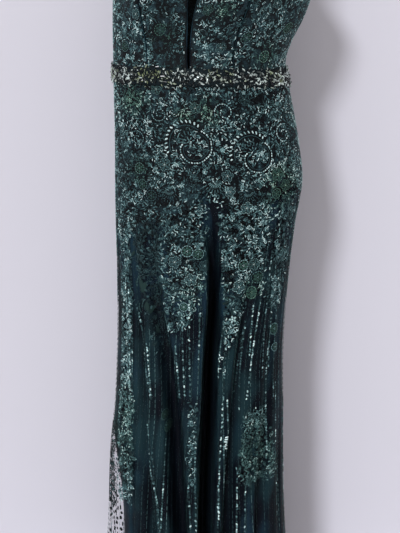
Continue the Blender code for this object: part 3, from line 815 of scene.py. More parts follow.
for panel, (first, last, columns) in LINING_PANELS.items():
    heights = skirt_heights(LINING_HEM_Z, LINING_ROWS)
    angles = grain_at(grain_table(first, last, columns), heights)
    levels = tip_rows(angles, heights)
    points = drawn_in(on_form(angles, levels, LINING_LIFT), angles, levels)
    faces, node = grid_faces(LINING_ROWS, columns), f"skirt_lining_{panel}"
    # painted shade: how deep each lining point lies in a fold, for the satin to darken there
    shade = {"folded": folded(angles, levels)}
    piece = add_piece(f"lining_{panel}", points, faces, SATIN, [node], shade)
    give_uv(piece, travelled(points), levels)
    thicken(piece, LINING_THICK)

# %% [markdown]
# ## The bodice
#
# Eight panels meet in princess seams, which shape the cups. Each panel is a grid between two seam
# lines. Near a seam the cloth dips by nearly a millimetre into the ditch of the stitching, and
# that thin dark line is what makes the panels readable under the embroidery.

# %% Bodice panels
PRINCESS_AT_WAIST, PRINCESS_AT_STRAP, BACK_PRINCESS = 29.0, 37.0, 147.0
FRONT_STRAP_Z, BACK_STRAP_Z, UNDERARM_Z, CENTRE_BACK_TOP_Z = -0.130, -0.165, -0.213, -0.190
STRAP_INNER, STRAP_OUTER = 27.0, 47.0
BODICE_THICK, BODICE_ROWS = 0.0018, 34
DITCH, DITCH_WIDE = 0.0009, 0.0022  # how deep and how wide a seam's ditch is
Plunge = namedtuple("Plunge", "z half_gap")
PLUNGE = [
    Plunge(-0.130, 0.080),
    Plunge(-0.165, 0.056),
    Plunge(-0.205, 0.028),
    Plunge(-0.235, 0.0115),
    Plunge(-0.260, 0.0075),
    Plunge(-0.385, 0.0022),
]


def plunge_edge(z):
    """The angle between the centre front and the edge of the plunge."""
    return np.degrees(np.arcsin(read(PLUNGE, "half_gap", z) / read(SECTIONS, "half_width", z)))


def princess(z):
    """The angle of the front princess seam, which leans out towards the strap."""
    rise = np.clip((z - WAIST_Z) / (FRONT_STRAP_Z - WAIST_Z), 0, 1)
    return PRINCESS_AT_WAIST + (PRINCESS_AT_STRAP - PRINCESS_AT_WAIST) * rise**2


def straight(angle):
    """A seam that stays at one angle at every height."""
    return lambda z: np.full(np.shape(z), angle)


def bodice_top(from_front):
    """The height of the bodice's top edge at this angle from the centre front."""
    corners = [0, STRAP_OUTER, 58, 72, SIDE, 112, 180 - STRAP_OUTER, 180 - STRAP_INNER, 180]
    heights = [FRONT_STRAP_Z, FRONT_STRAP_Z, -0.168, -0.200, UNDERARM_Z]
    heights += [-0.198, BACK_STRAP_Z, BACK_STRAP_Z, CENTRE_BACK_TOP_Z]
    return np.interp(from_front, corners, heights)


def panel_grid(side, inner_edge, outer_edge, columns):
    """Angles and heights of a bodice panel, with its columns towards +X in front."""
    share = np.linspace(0, 1, columns)[None, :]
    top_angle = inner_edge(FRONT_STRAP_Z) * (1 - share) + outer_edge(FRONT_STRAP_Z) * share
    waist_angle = inner_edge(WAIST_Z) * (1 - share) + outer_edge(WAIST_Z) * share
    low = waist_z(front(WAIST_Z) + side * waist_angle) + SEAM / 2
    z = low + (bodice_top(top_angle) - low) * np.linspace(1, 0, BODICE_ROWS)[:, None]
    from_front = inner_edge(z) * (1 - share) + outer_edge(z) * share
    order = slice(None) if side > 0 else slice(None, None, -1)
    return (front(z) + side * from_front)[:, order], z[:, order], share[:, order]


PANELS = {
    "centre_front": (plunge_edge, princess, 22),
    "side_front": (princess, straight(SIDE), 34),
    "side_back": (straight(SIDE), straight(BACK_PRINCESS), 30),
    "centre_back": (straight(BACK_PRINCESS), straight(BACK), 20),
}
EDGE_INSET = 0.00018  # each panel stops this far short of its seam
bodice_edges = {}
for panel, (inner_edge, outer_edge, columns) in PANELS.items():
    for side, word in ((-1, "right"), (1, "left")):
        angles, levels, share = panel_grid(side, inner_edge, outer_edge, columns)
        per_degree = look_up(GRID_PER_DEGREE, angles, levels)
        span = np.abs(angles[:, -1] - angles[:, 0])[:, None] * per_degree
        from_seam = np.minimum(share, 1 - share) * span
        if panel == "centre_front":
            from_seam = (1 - share) * span
        angles[:, 0] += EDGE_INSET / per_degree[:, 0]
        angles[:, -1] -= EDGE_INSET / per_degree[:, -1]
        points = on_form(angles, levels, -DITCH * np.exp(-((from_seam / DITCH_WIDE) ** 2)))
        name, node = f"lace_{panel}_{word}", f"bodice_{panel}_{word}"
        faces = grid_faces(BODICE_ROWS, columns)
        piece = add_piece(name, points, faces, LACE_GROUND, [node])
        thicken(piece, BODICE_THICK)
        bodice_edges[panel, word] = (angles, levels)

# %% [markdown]
# ## Straps
#
# A strap rises from the front's top edge, goes over the shoulder as half an oval, and is sewn to
# the back. Its outer edge is lower, because a shoulder slopes. The same grid of points later
# carries the strap's embroidery.

# %% Strap grids
SHOULDER_SLOPE, STRAP_COLUMNS, STRAP_STEPS = 0.33, 12, 64


def strap_grid(side, columns, steps):
    """Outer points of a strap, back to front, with its columns towards +X."""
    across = np.linspace(STRAP_INNER, STRAP_OUTER, columns)
    base_front = cloth(front(FRONT_STRAP_Z) + side * across, FRONT_STRAP_Z + SEAM)
    base_back = cloth(front(BACK_STRAP_Z) + side * (180.0 - across), BACK_STRAP_Z + SEAM)
    width = abs(base_front[-1, 0] - base_front[0, 0])
    fall = SHOULDER_SLOPE * width * (np.linspace(0, 1, columns) - 0.5)
    rows = []
    for step in range(steps + 1):
        arc = np.pi * step / steps
        towards_back = (1 - np.cos(arc)) / 2
        base = base_front if arc < np.pi / 2 else base_back
        x = base_front[:, 0] * (1 - towards_back) + base_back[:, 0] * towards_back
        crest = BODICE_THICK - fall - base[:, 2]
        y = base[:, 1] * abs(np.cos(arc))
        rows.append(np.stack([x, y, base[:, 2] + crest * np.sin(arc)], -1))
    return np.array(rows)[::-1, ::side]


STRAPS = {}
for side, word in ((-1, "right"), (1, "left")):
    points = strap_grid(side, STRAP_COLUMNS, STRAP_STEPS)
    name, faces = f"lace_strap_{word}", grid_faces(*points.shape[:2])
    piece = add_piece(name, points, faces, LACE_GROUND, [f"strap_{word}"])
    thicken(piece, BODICE_THICK)
    "lace_centre_front_" + word
    STRAPS[word] = points

# %% [markdown]
# ## One stitch, many stitches
#
# Every flower, leaf and scroll on the gown is built from one shape: a short raised stitch, pointed
# at both ends, like a grain of rice cut in half. It has only eight triangles, so many thousands of
# them are affordable. A motif is a small array with a row for each stitch: x, y, turn, length,
# width, tone and green, in millimetres and degrees about its own middle. To sew it on, we turn it,
# scale it, and lay each stitch on the form.

# %% The stitch
STITCH = np.array([
    (-0.5, 0.0, 0.0), (-0.26, 0.5, 0.0), (0.26, 0.5, 0.0), (0.5, 0.0, 0.0),
    (0.26, -0.5, 0.0), (-0.26, -0.5, 0.0), (-0.22, 0.0, 1.0), (0.22, 0.0, 1.0),
])  # fmt: skip
STITCH_FACES = np.array([
    (0, 6, 1), (1, 6, 7), (1, 7, 2), (2, 7, 3), (3, 7, 4), (4, 7, 6), (4, 6, 5), (5, 6, 0),
])  # fmt: skip
SUNK = -0.0002  # a stitch's rim lies just below the net's face
HEIGHT_SHARE = 0.45  # a stitch's height is at most this share of its width
LOW, LIFTED, LIFT_POWER = 0.00028, 0.00085, 1.5  # bright cord stands over dim satin stitch


def sew(motif, angle, z, turn=0.0, size=1.0, mirror=False, tone=1.0, green=0.0):
    """A motif's stitches on the form: x and y in mm become degrees and metres, and sizes metres."""
    x, y, own_turn, length, width, own_tone, own_green = motif.T.copy()
    if mirror:
        x, own_turn = -x, 180.0 - own_turn
    c, s = np.cos(np.radians(turn)), np.sin(np.radians(turn))
    across, up = (x * c - y * s) * size / 1000, (x * s + y * c) * size / 1000
    per_degree = float(look_up(GRID_PER_DEGREE, np.array([angle]), np.array([z]))[0])
    place = [angle + across / per_degree, z + up, own_turn + turn]
    shape = [length * size / 1000, width * size / 1000]
    looks = [np.clip(own_tone * tone, 0, 1), np.clip(own_green + green, 0, 1)]
    return np.stack([*place, *shape, *looks], axis=-1)


def copied_faces(faces, copies, points):
    """The triangles of this many copies of a shape that has this many points."""
    return (faces[None] + np.arange(copies)[:, None, None] * points).reshape(-1, 3)


def lay_stitches(name, frames, sewn):
    """One mesh of stitches, each on its own frame of a point and the ways across, up and out."""
    point, across, up, out = (part[:, None, :] for part in frames)
    turn, length, width, tone, green = sewn[:, 2:].T[:, :, None]
    turn = np.radians(turn)
    u, v = STITCH[None, :, 0] * length, STITCH[None, :, 1] * width
    along, upward = u * np.cos(turn) - v * np.sin(turn), u * np.sin(turn) + v * np.cos(turn)
    tallest = np.minimum(width * HEIGHT_SHARE, LOW + LIFTED * tone**LIFT_POWER)
    raised = SUNK + STITCH[None, :, 2] * tallest
    points = point + across * along[..., None] + up * upward[..., None] + out * raised[..., None]
    faces = copied_faces(STITCH_FACES, len(sewn), len(STITCH))
    looks = {"tone": tone, "green": green}
    per_point = {key: np.repeat(value[:, 0], len(STITCH)) for key, value in looks.items()}
    add_piece(name, points, faces, THREAD, (), per_point, smooth=False)
    print(f"{name}: {len(sewn)} stitches, {len(faces)} triangles")


# %% [markdown]
# ## The motifs
#
# These are drawn afresh in the manner of corded lace: roundels with a dark green heart, roses of
# five petals, florets, sprigs, curls, leaves, fans of feather strokes, and large scrolls edged
# like rope. Rings and spokes of stitches build them all. In a ring the stitches lie end to end,
# and in spokes they point out from the middle.


# %% Small motifs
def alike(count, *values):
    """Each value, repeated for this many stitches."""
    return [np.full(count, value) for value in values]


def ring(radius, count, length, width, tone, start=0.0, sweep=360.0, green=0.0):
    """Stitches end to end round a circle, or part of one."""
    at = np.radians(start + (np.arange(count) + 0.5) * sweep / count)
    shape = [radius * np.cos(at), radius * np.sin(at), np.degrees(at) + 90]
    return np.stack(shape + alike(count, length, width, tone, green), axis=-1)


def spokes(inner, outer, count, width, tone, start=0.0, sweep=360.0, green=0.0):
    """Stitches that point out from the middle."""
    at = np.radians(start + (np.arange(count) + 0.5) * sweep / count)
    middle = (inner + outer) / 2
    shape = [middle * np.cos(at), middle * np.sin(at), np.degrees(at)]
    return np.stack(shape + alike(count, outer - inner, width, tone, green), axis=-1)


def stroke(inner, outer, width, tone, lean, green=0.0):
    """One stitch that points this way from the middle."""
    return spokes(inner, outer, 1, width, tone, start=lean, sweep=0, green=green)


def moved(motif, x, y, turn=0.0):
    """A motif turned about its middle and then moved, so that small ones build large ones."""
    c, s = np.cos(np.radians(turn)), np.sin(np.radians(turn))
    out = motif.copy()
    out[:, 0] = motif[:, 0] * c - motif[:, 1] * s + x
    out[:, 1] = motif[:, 0] * s + motif[:, 1] * c + y
    out[:, 2] += turn
    return out


def petal_rims(count, away, radius, per_petal, length, width, tone):
    """Corded outlines of petals that stand round the middle."""
    rim = ring(radius, per_petal, length, width, tone, start=-105, sweep=210)
    petals = []
    for turn in np.arange(count) * 360 / count:
        x, y = away * np.cos(np.radians(turn)), away * np.sin(np.radians(turn))
        petals.append(moved(rim, x, y, turn))
    return np.concatenate(petals)


def rose():
    return np.concatenate([
        spokes(3.0, 12.0, 5, 7.5, 0.44, start=-36),
        petal_rims(5, 7.4, 5.0, 5, 3.2, 1.6, 0.76),
        ring(3.9, 6, 3.6, 1.6, 0.72, start=20),
        ring(1.2, 3, 2.2, 1.8, 1.0),
    ])  # fmt: skip


def roundel():
    return np.concatenate([
        spokes(2.0, 8.2, 6, 5.2, 0.50, green=0.8),
        ring(9.3, 14, 4.0, 1.7, 0.80),
        ring(5.2, 6, 3.0, 1.4, 0.66, start=10, green=0.5),
        ring(1.3, 3, 2.0, 1.6, 0.9),
    ])  # fmt: skip


def floret():
    return np.concatenate([spokes(1.0, 5.6, 5, 2.7, 0.72), ring(0.4, 1, 2.0, 2.0, 1.0)])


def hook():
    curl = ring(3.9, 4, 3.5, 1.8, 0.9, sweep=215)
    return np.concatenate([curl, ring(1.0, 1, 2.0, 1.8, 0.9, start=190)])


def ess():
    upper = ring(3.0, 3, 3.3, 1.7, 0.86, start=-20, sweep=180)
    return np.concatenate([moved(upper, 0.0, 2.9), moved(upper, 0.0, -2.9, 180)])


def dashes():
    dash = spokes(-2.3, 2.3, 1, 1.8, 0.88)
    return np.concatenate([moved(dash, 0.5 * i, 2.7 * i, 9 * i) for i in (-1, 0, 1)])


def sprig():
    pair = np.concatenate([stroke(0.6, 4.6, 1.9, 0.74, lean) for lean in (38, 142)])
    steps = [moved(pair, 0.0, 3.0 * i) for i in range(3)]
    return np.concatenate([*steps, moved(stroke(0, 4.2, 2.0, 0.95, 90), 0.0, 8.0)])


def leaf():
    rim = ring(9.0, 4, 3.2, 1.3, 0.70, start=-40, sweep=80)
    rims = [moved(rim, side * 6.6, 6.0, 90 - side * 90) for side in (-1, 1)]
    return np.concatenate([stroke(0.0, 12.0, 4.8, 0.42, 90, green=0.4), *rims])


print("rose has", len(rose()), "stitches; roundel has", len(roundel()))

# %% [markdown]
# A scroll has two paths. Slanted stitches along the first look like the twist of a rope, and the
# second is a light rail that winds in on itself. Wide black stitches under both set them off from
# the ground. A fan is a set of broken lines that spread from one point.


# %% Scrolls and fans
def along_path(path, spacing, width, tone, length=None, slant=0.0, offset=0.0):
    """Stitches at even steps along a path in millimetres, to one side of it by offset."""
    steps = np.linalg.norm(np.diff(path, axis=0), axis=-1)
    gone = np.concatenate([[0], np.cumsum(steps)])
    count = max(int(gone[-1] / spacing), 2)
    at = (np.arange(count) + 0.5) * gone[-1] / count
    x, y = np.interp(at, gone, path[:, 0]), np.interp(at, gone, path[:, 1])
    ahead = np.stack([np.interp(at + 0.3, gone, path[:, i]) for i in (0, 1)], -1)
    behind = np.stack([np.interp(at - 0.3, gone, path[:, i]) for i in (0, 1)], -1)
    way = ahead - behind
    heading = np.arctan2(way[:, 1], way[:, 0])
    x, y = x - np.sin(heading) * offset, y + np.cos(heading) * offset
    rest = alike(count, length or spacing * 1.15, width, tone, 0.0)
    return np.stack([x, y, np.degrees(heading) + slant, *rest], axis=-1)


HAND = [0.35, 0.35, 8.0, 0.5, 0.3, 0.10, 0.0]  # how much each column of a motif varies


def uneven(motif):
    """The same stitches, a little different in place, turn and brightness, as if sewn by hand."""
    own = np.random.default_rng(len(motif))
    return motif + own.standard_normal(motif.shape) * HAND


def wound(start, end, radii):
    """A path that turns from one angle to another as its radius goes through these values."""
    share = np.linspace(0, 1, 80)
    radius = np.interp(share, np.linspace(0, 1, len(radii)), radii)
    at = np.radians(start + (end - start) * share)
    return np.stack([radius * np.cos(at), radius * np.sin(at)], axis=-1)


def scroll():
    """A dark rope that rises over the left, and a light rail that winds round the right and in."""
    rope = wound(208, 52, (48, 46, 42, 38))
    rail = wound(44, -172, (33, 41, 44, 42, 36, 25, 13))
    return np.concatenate([
        along_path(rope, 5.0, 14.0, 0.0, length=10.0),
        along_path(rail, 5.0, 11.0, 0.0, length=10.0),
        uneven(along_path(rope, 8.0, 3.6, 0.92, length=7.4, slant=-58.0)),
        along_path(rope, 4.6, 1.8, 0.50, offset=-7.4),
        uneven(along_path(rail, 5.0, 3.0, 0.90, length=4.6)),
        along_path(rail, 4.4, 1.5, 0.46, offset=-5.6),
        spokes(6.0, 13.0, 6, 2.6, 0.66, start=10, sweep=230),
        spokes(15.0, 23.0, 7, 2.4, 0.60, start=60, sweep=150),
    ])  # fmt: skip


def small_scroll():
    rail = wound(150, -300, (15, 13, 11, 7, 4))
    return np.concatenate([
        along_path(rail, 3.6, 7.5, 0.0, length=6.0, offset=1.0),
        uneven(along_path(rail, 3.8, 2.4, 0.84, length=3.4)),
    ])  # fmt: skip


def fan():
    """Broken lines that spread downwards from one point."""
    rays = []
    for lean in np.linspace(-150, -30, 9):
        for inner in (6.0, 13.5, 21.0):
            rays.append(stroke(inner, inner + 6.6, 1.5, 0.80 - inner / 80, lean))
    return np.concatenate(rays)


print("scroll has", len(scroll()), "stitches; fan has", len(fan()))

# %% [markdown]
# ## Placing the large motifs
#
# The large motifs are placed one by one, as a lace designer would place them. Each row gives what
# it is, where it lies on the form, how it is turned, its size, and its brightness and greenness.

# %% Large motifs
Placed = namedtuple("Placed", "kind angle z turn size tone green mirror", defaults=[0.0, False])
KINDS = (roundel, rose, floret, sprig, hook, ess, dashes, leaf, scroll, small_scroll, fan)
MOTIFS = {kind.__name__: kind() for kind in KINDS}
BY_HAND = [
    Placed("scroll", -10.5, -0.504, 0, 0.97, 1.0),
    Placed("scroll", 29.0, -0.524, -8, 0.93, 1.0),
    Placed("small_scroll", 56.0, -0.492, 30, 1.25, 1.0, 0.0, True),
    Placed("small_scroll", -47.0, -0.500, -20, 1.00, 0.8),
    Placed("small_scroll", 12.5, -0.448, 60, 1.20, 0.95),
    Placed("small_scroll", -29.0, -0.452, 120, 1.00, 0.85, 0.0, True),
    Placed("fan", 3.5, -0.574, 0, 1.25, 1.0),
    Placed("fan", 24.0, -0.596, 10, 0.95, 0.9),
    Placed("fan", -24.0, -0.592, -8, 0.95, 0.9),
    Placed("rose", -5.0, -0.440, 20, 0.85, 1.0, 0.4),
    Placed("rose", 27.2, -0.425, 50, 0.95, 0.75, 0.1),
    Placed("rose", -30.0, -0.406, 0, 0.85, 0.95, 0.3),
    Placed("rose", -27.0, -0.546, 35, 1.00, 1.0, 0.1),
    Placed("rose", 11.0, -0.566, 10, 0.90, 1.0),
    Placed("rose", 12.5, -0.596, 75, 0.80, 1.1),
    Placed("rose", 24.0, -0.628, 15, 0.95, 1.1, 0.1),
    Placed("roundel", -46.0, -0.556, 0, 1.10, 0.9, 0.6),
    Placed("roundel", -43.5, -0.586, 0, 1.00, 0.8, 0.4),
    Placed("roundel", -36.5, -0.606, 0, 1.10, 0.7),
    Placed("rose", 46.0, -0.568, 0, 1.05, 1.0, 0.9),
    Placed("rose", 53.0, -0.590, 40, 0.95, 0.9, 1.0),
    Placed("roundel", 45.0, -0.604, 0, 1.00, 0.9, 1.0),
    Placed("roundel", -11.0, -0.710, 0, 1.15, 1.0),
    Placed("rose", -19.0, -0.732, 0, 1.00, 1.0),
    Placed("roundel", -4.0, -0.715, 0, 1.10, 0.9, 0.2),
    Placed("rose", 0.5, -0.738, 0, 0.90, 0.8),
    Placed("rose", -8.0, -0.766, 30, 1.00, 1.1, 0.1),
    Placed("roundel", -12.0, -0.820, 0, 0.90, 1.0),
    Placed("roundel", 26.0, -0.740, 0, 1.15, 1.0, 0.1),
    Placed("rose", 34.5, -0.740, 0, 0.95, 1.0, 0.2),
    Placed("roundel", 38.0, -0.766, 0, 1.20, 0.8, 0.4),
    Placed("roundel", 34.5, -0.796, 0, 1.25, 0.9, 1.0),
    Placed("rose", 24.0, -0.782, 60, 1.05, 1.1, 0.1),
    Placed("floret", 21.0, -0.846, 0, 1.50, 1.2, 0.1),
    Placed("hook", 14.3, -0.926, 30, 1.30, 1.1),
    Placed("ess", 14.8, -0.948, 80, 1.20, 1.1),
    Placed("roundel", 60.0, -0.878, 0, 1.20, 0.8, 0.4),
    Placed("roundel", 62.0, -0.916, 0, 0.90, 0.9),
    Placed("roundel", -24.0, -1.040, 0, 1.10, 0.6, 0.3),
    Placed("roundel", -22.0, -1.064, 0, 1.25, 0.7, 0.5),
    Placed("dashes", 18.6, -1.088, 0, 1.70, 1.3),
    Placed("hook", 19.2, -1.102, 90, 1.30, 1.2),
    Placed("hook", -80.0, -1.138, 20, 1.60, 0.0),
    Placed("ess", -77.0, -1.160, 80, 1.50, 0.0),
    Placed("hook", -79.0, -1.186, 200, 1.60, 0.0),
    Placed("ess", -74.0, -1.206, 30, 1.50, 0.0),
    Placed("hook", -77.0, -1.226, 120, 1.50, 0.0),
    Placed("leaf", -46.0, -0.770, 200, 2.00, 0.75, 0.3),
    Placed("leaf", -41.0, -0.776, 160, 2.00, 0.75, 0.3),
    Placed("leaf", -40.0, -0.815, 195, 1.70, 0.7, 0.3),
    Placed("leaf", -35.0, -0.822, 150, 1.70, 0.7, 0.3),
    Placed("leaf", -33.0, -0.862, 200, 1.50, 0.75, 0.2),
    Placed("roundel", 46.0, -0.348, 0, 1.10, 1.0, 0.9),
    Placed("roundel", -28.0, -0.298, 0, 1.10, 0.8, 0.9),
    Placed("rose", -1.5, -0.262, 0, 0.80, 0.9, 0.7),
    Placed("roundel", 60.0, -0.296, 0, 1.00, 0.9, 0.7),
    Placed("roundel", -58.0, -0.330, 0, 1.00, 0.8, 0.3),
    Placed("roundel", 27.0, -0.312, 0, 1.10, 0.9, 0.3),
    Placed("rose", 12.0, -0.330, 0, 0.80, 1.0, 0.1),
    Placed("rose", -45.0, -0.270, 0, 0.80, 1.0, 0.1),
    Placed("rose", 40.0, -0.250, 0, 0.80, 1.0, 0.1),
]
# The back repeats the front's scrolls, fans and roses round its own middle.
BACK_ROWS = [
    ("scroll", 22.0, -0.520, 8, 0.90), ("scroll", 64.0, -0.520, 4, 0.85),
    ("fan", 38.0, -0.590, 0, 1.1), ("rose", 8.0, -0.450, 20, 0.95),
    ("rose", 42.0, -0.450, 70, 0.90), ("rose", 70.0, -0.600, 10, 0.9),
    ("rose", 16.0, -0.600, 40, 1.00), ("roundel", 20.0, -0.720, 0, 1.15),
    ("rose", 12.0, -0.740, 0, 0.9), ("rose", 17.0, -0.770, 0, 0.95),
    ("roundel", 53.0, -0.730, 0, 1.15), ("rose", 54.0, -0.770, 0, 0.9),
    ("roundel", 30.0, -0.300, 0, 1.05), ("rose", 55.0, -0.280, 30, 0.85),
]  # fmt: skip
for side in (-1, 1):
    for kind, away, z, turn, size in BACK_ROWS:
        row = Placed(kind, 180.0 - side * away, z, turn * side, size, 0.95, 0.15, side < 0)
        BY_HAND.append(row)

large = []
for row in BY_HAND:
    place = (turned(row.angle), row.z, row.turn, row.size)
    large.append(sew(MOTIFS[row.kind], *place, row.mirror, row.tone, row.green))
large = np.concatenate(large)
print(len(BY_HAND), "motifs placed by hand:", len(large), "stitches")

# %% [markdown]
# ## Filling the ground
#
# Between the large motifs, small ones fill the net as closely as the worked function says. They
# lie on a jittered grid, which is even without being regular. Some rules keep places free: the
# belt, the edges, the large motifs, and the deepest fold, where the real cloth is plain. The
# random numbers have a fixed seed, so that the gown is the same each time.

# %% Where small work may lie
rng = np.random.default_rng(31)
CLEARANCE = 0.0034  # small motifs start this far from the large ones' stitches
WORK_TOP_Z = -0.135
EDGE_MARGIN = 0.004  # metres that stay free below an edge
PLUNGE_PER_DEGREE, ZIP_PER_DEGREE = 0.003, 0.0035  # metres to a degree beside the plunge and zip
DEEP = 0.02  # a fold this deep has no work at its middle


def ripples(wavelength, count=7):
    """A smooth random field over the form, near -1 to 1, made of a few waves in all directions."""
    ways = unit(rng.standard_normal((count, 3))) * 2 * np.pi / wavelength
    starts = 2 * np.pi * rng.random(count)
    return lambda points: np.cos(points @ ways.T + starts).sum(axis=-1) / np.sqrt(count / 2)


def jittered(cell, top, bottom):
    """Places on a jittered grid of this cell size, in metres, round the whole form."""
    found = []
    for z in np.arange(top, bottom, -cell):
        around = look_up(GRID_PER_DEGREE, GRID_ANGLES, np.full(len(GRID_ANGLES), z)).mean() * 360
        count = max(int(around / cell), 1)
        angles = -180 + 360 * (np.arange(count) + rng.random(count)) / count
        found.append(np.stack([angles, z - cell * rng.random(count)], -1))
    return np.concatenate(found)


def in_fold(angle, z):
    """How deep in the centre front fold a place is, from 0 to 1."""
    away = turned(angle - front(z)) / read(CENTRE_FRONT, "spread", z)
    return bump(away) * np.clip(read(CENTRE_FRONT, "depth", z) / DEEP, 0, 1)


def on_cloth(angle, z, margin=EDGE_MARGIN):
    """Whether a place is on the cloth, and not over an edge, the plunge or the zip."""
    from_front = np.abs(turned(angle - front(z)))
    inside = z < bodice_top(from_front) - margin
    open_front = from_front > plunge_edge(z) + margin / PLUNGE_PER_DEGREE
    closed_back = from_front < 180 - margin / ZIP_PER_DEGREE
    return inside & ((z < WAIST_Z) | (open_front & closed_back))


def off_belt(angle, z):
    """Whether each place is clear of the belt."""
    return np.abs(z - waist_z(angle)) > BELT_HALF_HEIGHT * 0.8


taken = KDTree(len(large))
for index, point in enumerate(on_form(large[:, 0], large[:, 1])):
    taken.insert(point, index)
taken.balance()


def off_motifs(points):
    """Whether each point is clear of the large motifs' stitches."""
    return np.array([taken.find(point)[2] > CLEARANCE for point in points])


voids, glints, broad = ripples(0.034), ripples(0.045), ripples(0.10)
print("large stitches to keep clear of:", len(large))

# %% [markdown]
# The real work is not even. Some flowers are sewn in a greener thread, and some places face the
# light while others turn away from it. Two tables of round, soft-edged patches hold those: where
# each lies, its radius in metres, and how green it is or how much light it adds or takes.

# %% Green, bright and dim patches
GreenPatch = namedtuple("GreenPatch", "angle z radius share", defaults=[0.85])
GREEN_PATCHES = [
    GreenPatch(48.0, -0.590, 0.040), GreenPatch(-46.0, -0.560, 0.022),
    GreenPatch(-26.0, -0.310, 0.022), GreenPatch(46.0, -0.345, 0.024),
    GreenPatch(34.0, -0.790, 0.022), GreenPatch(60.0, -0.895, 0.024),
    GreenPatch(2.0, -0.445, 0.026), GreenPatch(-50.0, -0.425, 0.034),
    GreenPatch(-12.0, -0.455, 0.018), GreenPatch(8.0, -0.262, 0.020),
    GreenPatch(30.0, -0.382, 0.016), GreenPatch(-148.0, -0.540, 0.030),
    GreenPatch(43.0, -1.120, 0.070, 0.45), GreenPatch(-57.0, -1.080, 0.090, 0.35),
    GreenPatch(0.0, -0.790, 0.050, 0.30), GreenPatch(150.0, -0.470, 0.030),
    GreenPatch(110.0, -0.560, 0.030), GreenPatch(-105.0, -0.500, 0.030),
]  # fmt: skip


LightPatch = namedtuple("LightPatch", "angle z radius gain")
LIGHT_PATCHES = [
    LightPatch(-56.0, -0.550, 0.050, -0.20), LightPatch(-11.0, -0.560, 0.022, -0.32),
    LightPatch(-9.5, -0.680, 0.022, -0.28), LightPatch(-7.5, -0.410, 0.020, -0.28),
    LightPatch(-37.0, -0.640, 0.030, -0.20), LightPatch(-36.0, -0.800, 0.050, -0.18),
    LightPatch(-8.5, -0.760, 0.022, 0.28), LightPatch(28.0, -0.645, 0.022, 0.06),
    LightPatch(24.0, -0.770, 0.040, 0.20), LightPatch(-37.0, -0.445, 0.022, 0.22),
    LightPatch(-15.0, -0.445, 0.020, 0.15), LightPatch(-9.0, -0.335, 0.020, 0.35),
    LightPatch(-13.0, -0.262, 0.020, 0.30), LightPatch(-40.0, -0.295, 0.018, 0.18),
    LightPatch(24.0, -0.260, 0.022, -0.20), LightPatch(-56.0, -0.260, 0.025, -0.20),
    LightPatch(60.0, -0.500, 0.030, -0.16),
]  # fmt: skip


GREEN_REACH, LIGHT_REACH = 1.4, 1.5  # where a patch's edge ends, in radii


def in_patch(patch, reach, angle, z):
    """1 well inside a patch, falling to 0 at its reach."""
    across = turned(angle - patch.angle) * look_up(GRID_PER_DEGREE, angle, z)
    return np.clip(reach - np.hypot(across, z - patch.z) / patch.radius, 0, 1)


def greenness(angle, z):
    """How green the thread is at each place, from 0 to 1."""
    green = np.zeros(np.shape(angle))
    for patch in GREEN_PATCHES:
        green = np.maximum(green, patch.share * in_patch(patch, GREEN_REACH, angle, z))
    return green


def patchy(angle, z):
    """What the light patches multiply a stitch's brightness by."""
    gain = np.ones(np.shape(angle))
    for patch in LIGHT_PATCHES:
        gain += patch.gain * in_patch(patch, LIGHT_REACH, angle, z)
    return gain


def in_dim_panel(angle, z):
    """The bodice panel beside the plunge at the wearer's right turns away from the light."""
    return (z > -0.37) & (angle < -7) & (angle > -31)


print(len(GREEN_PATCHES), "green patches and", len(LIGHT_PATCHES), "light patches")

# %% [markdown]
# Now the small motifs. Bare patches open where a smooth random field is low, and the share that
# stays there is small. Each motif takes a random turn, size and brightness.

# %% Fill with small motifs
FILL_KINDS = ["hook", "ess", "dashes", "floret", "leaf", "sprig"]
FILL_SHARES = [0.15, 0.10, 0.38, 0.13, 0.07, 0.17]
FILL_TONES, FILL_CHANCES = [0.55, 0.75, 0.90, 1.08], [0.28, 0.28, 0.26, 0.18]
FILL_CELL, FILL_SIZE, FILL_END_Z = 0.0108, 0.95, -1.44
BODICE_LIGHT, DIM_LIGHT, DIM_CLOSE = 0.95, 0.72, 0.7
THIGH_Z = -0.60  # below this the bare patches are larger


def fill(cell, size, shares, tones, chances):
    """Small motifs over the worked areas, with bare patches and brighter ones."""
    places = jittered(cell, WORK_TOP_Z, FILL_END_Z)
    angle, z = places.T
    points = on_form(angle, z)
    close, light, _ = worked(angle, z)
    high = z > WAIST_Z
    close, light = np.where(high, 1.0, close), np.where(high, BODICE_LIGHT, light)
    bare = voids(points) < np.where(z < THIGH_Z, -0.40, -0.70)
    close *= (1 - in_fold(angle, z)) * np.where(bare, 0.15, 1.0)
    dim_panel = in_dim_panel(angle, z)
    close *= np.where(dim_panel, DIM_CLOSE, 1.0)
    keep = (rng.random(len(places)) < close) & on_cloth(angle, z)
    keep &= off_belt(angle, z) & off_motifs(points)
    light = light * (1 + 0.10 * glints(points) + 0.08 * broad(points))
    light = light * np.where(dim_panel, DIM_LIGHT, 1.0) * patchy(angle, z)
    green = greenness(angle, z)
    sewn = []
    for index in np.flatnonzero(keep):
        kind = rng.choice(FILL_KINDS, p=shares)
        spin = 180 + 60 * rng.standard_normal() if kind == "sprig" else 360 * rng.random()
        tone = light[index] * rng.choice(tones, p=chances)
        scale = size * (0.8 + 0.4 * rng.random())
        place = (angle[index], z[index], spin, scale)
        sewn.append(sew(MOTIFS[kind], *place, False, tone, green[index]))
    return np.concatenate(sewn)


small = fill(FILL_CELL, FILL_SIZE, FILL_SHARES, FILL_TONES, FILL_CHANCES)
print("fill:", len(small), "stitches")

# %% [markdown]
# Single short stitches crowd the gaps between the motifs. A smooth random field turns them, so that
# neighbours lie almost alike and the ground runs in swirls. Their brightness varies widely, because
# each one catches the light in its own way.

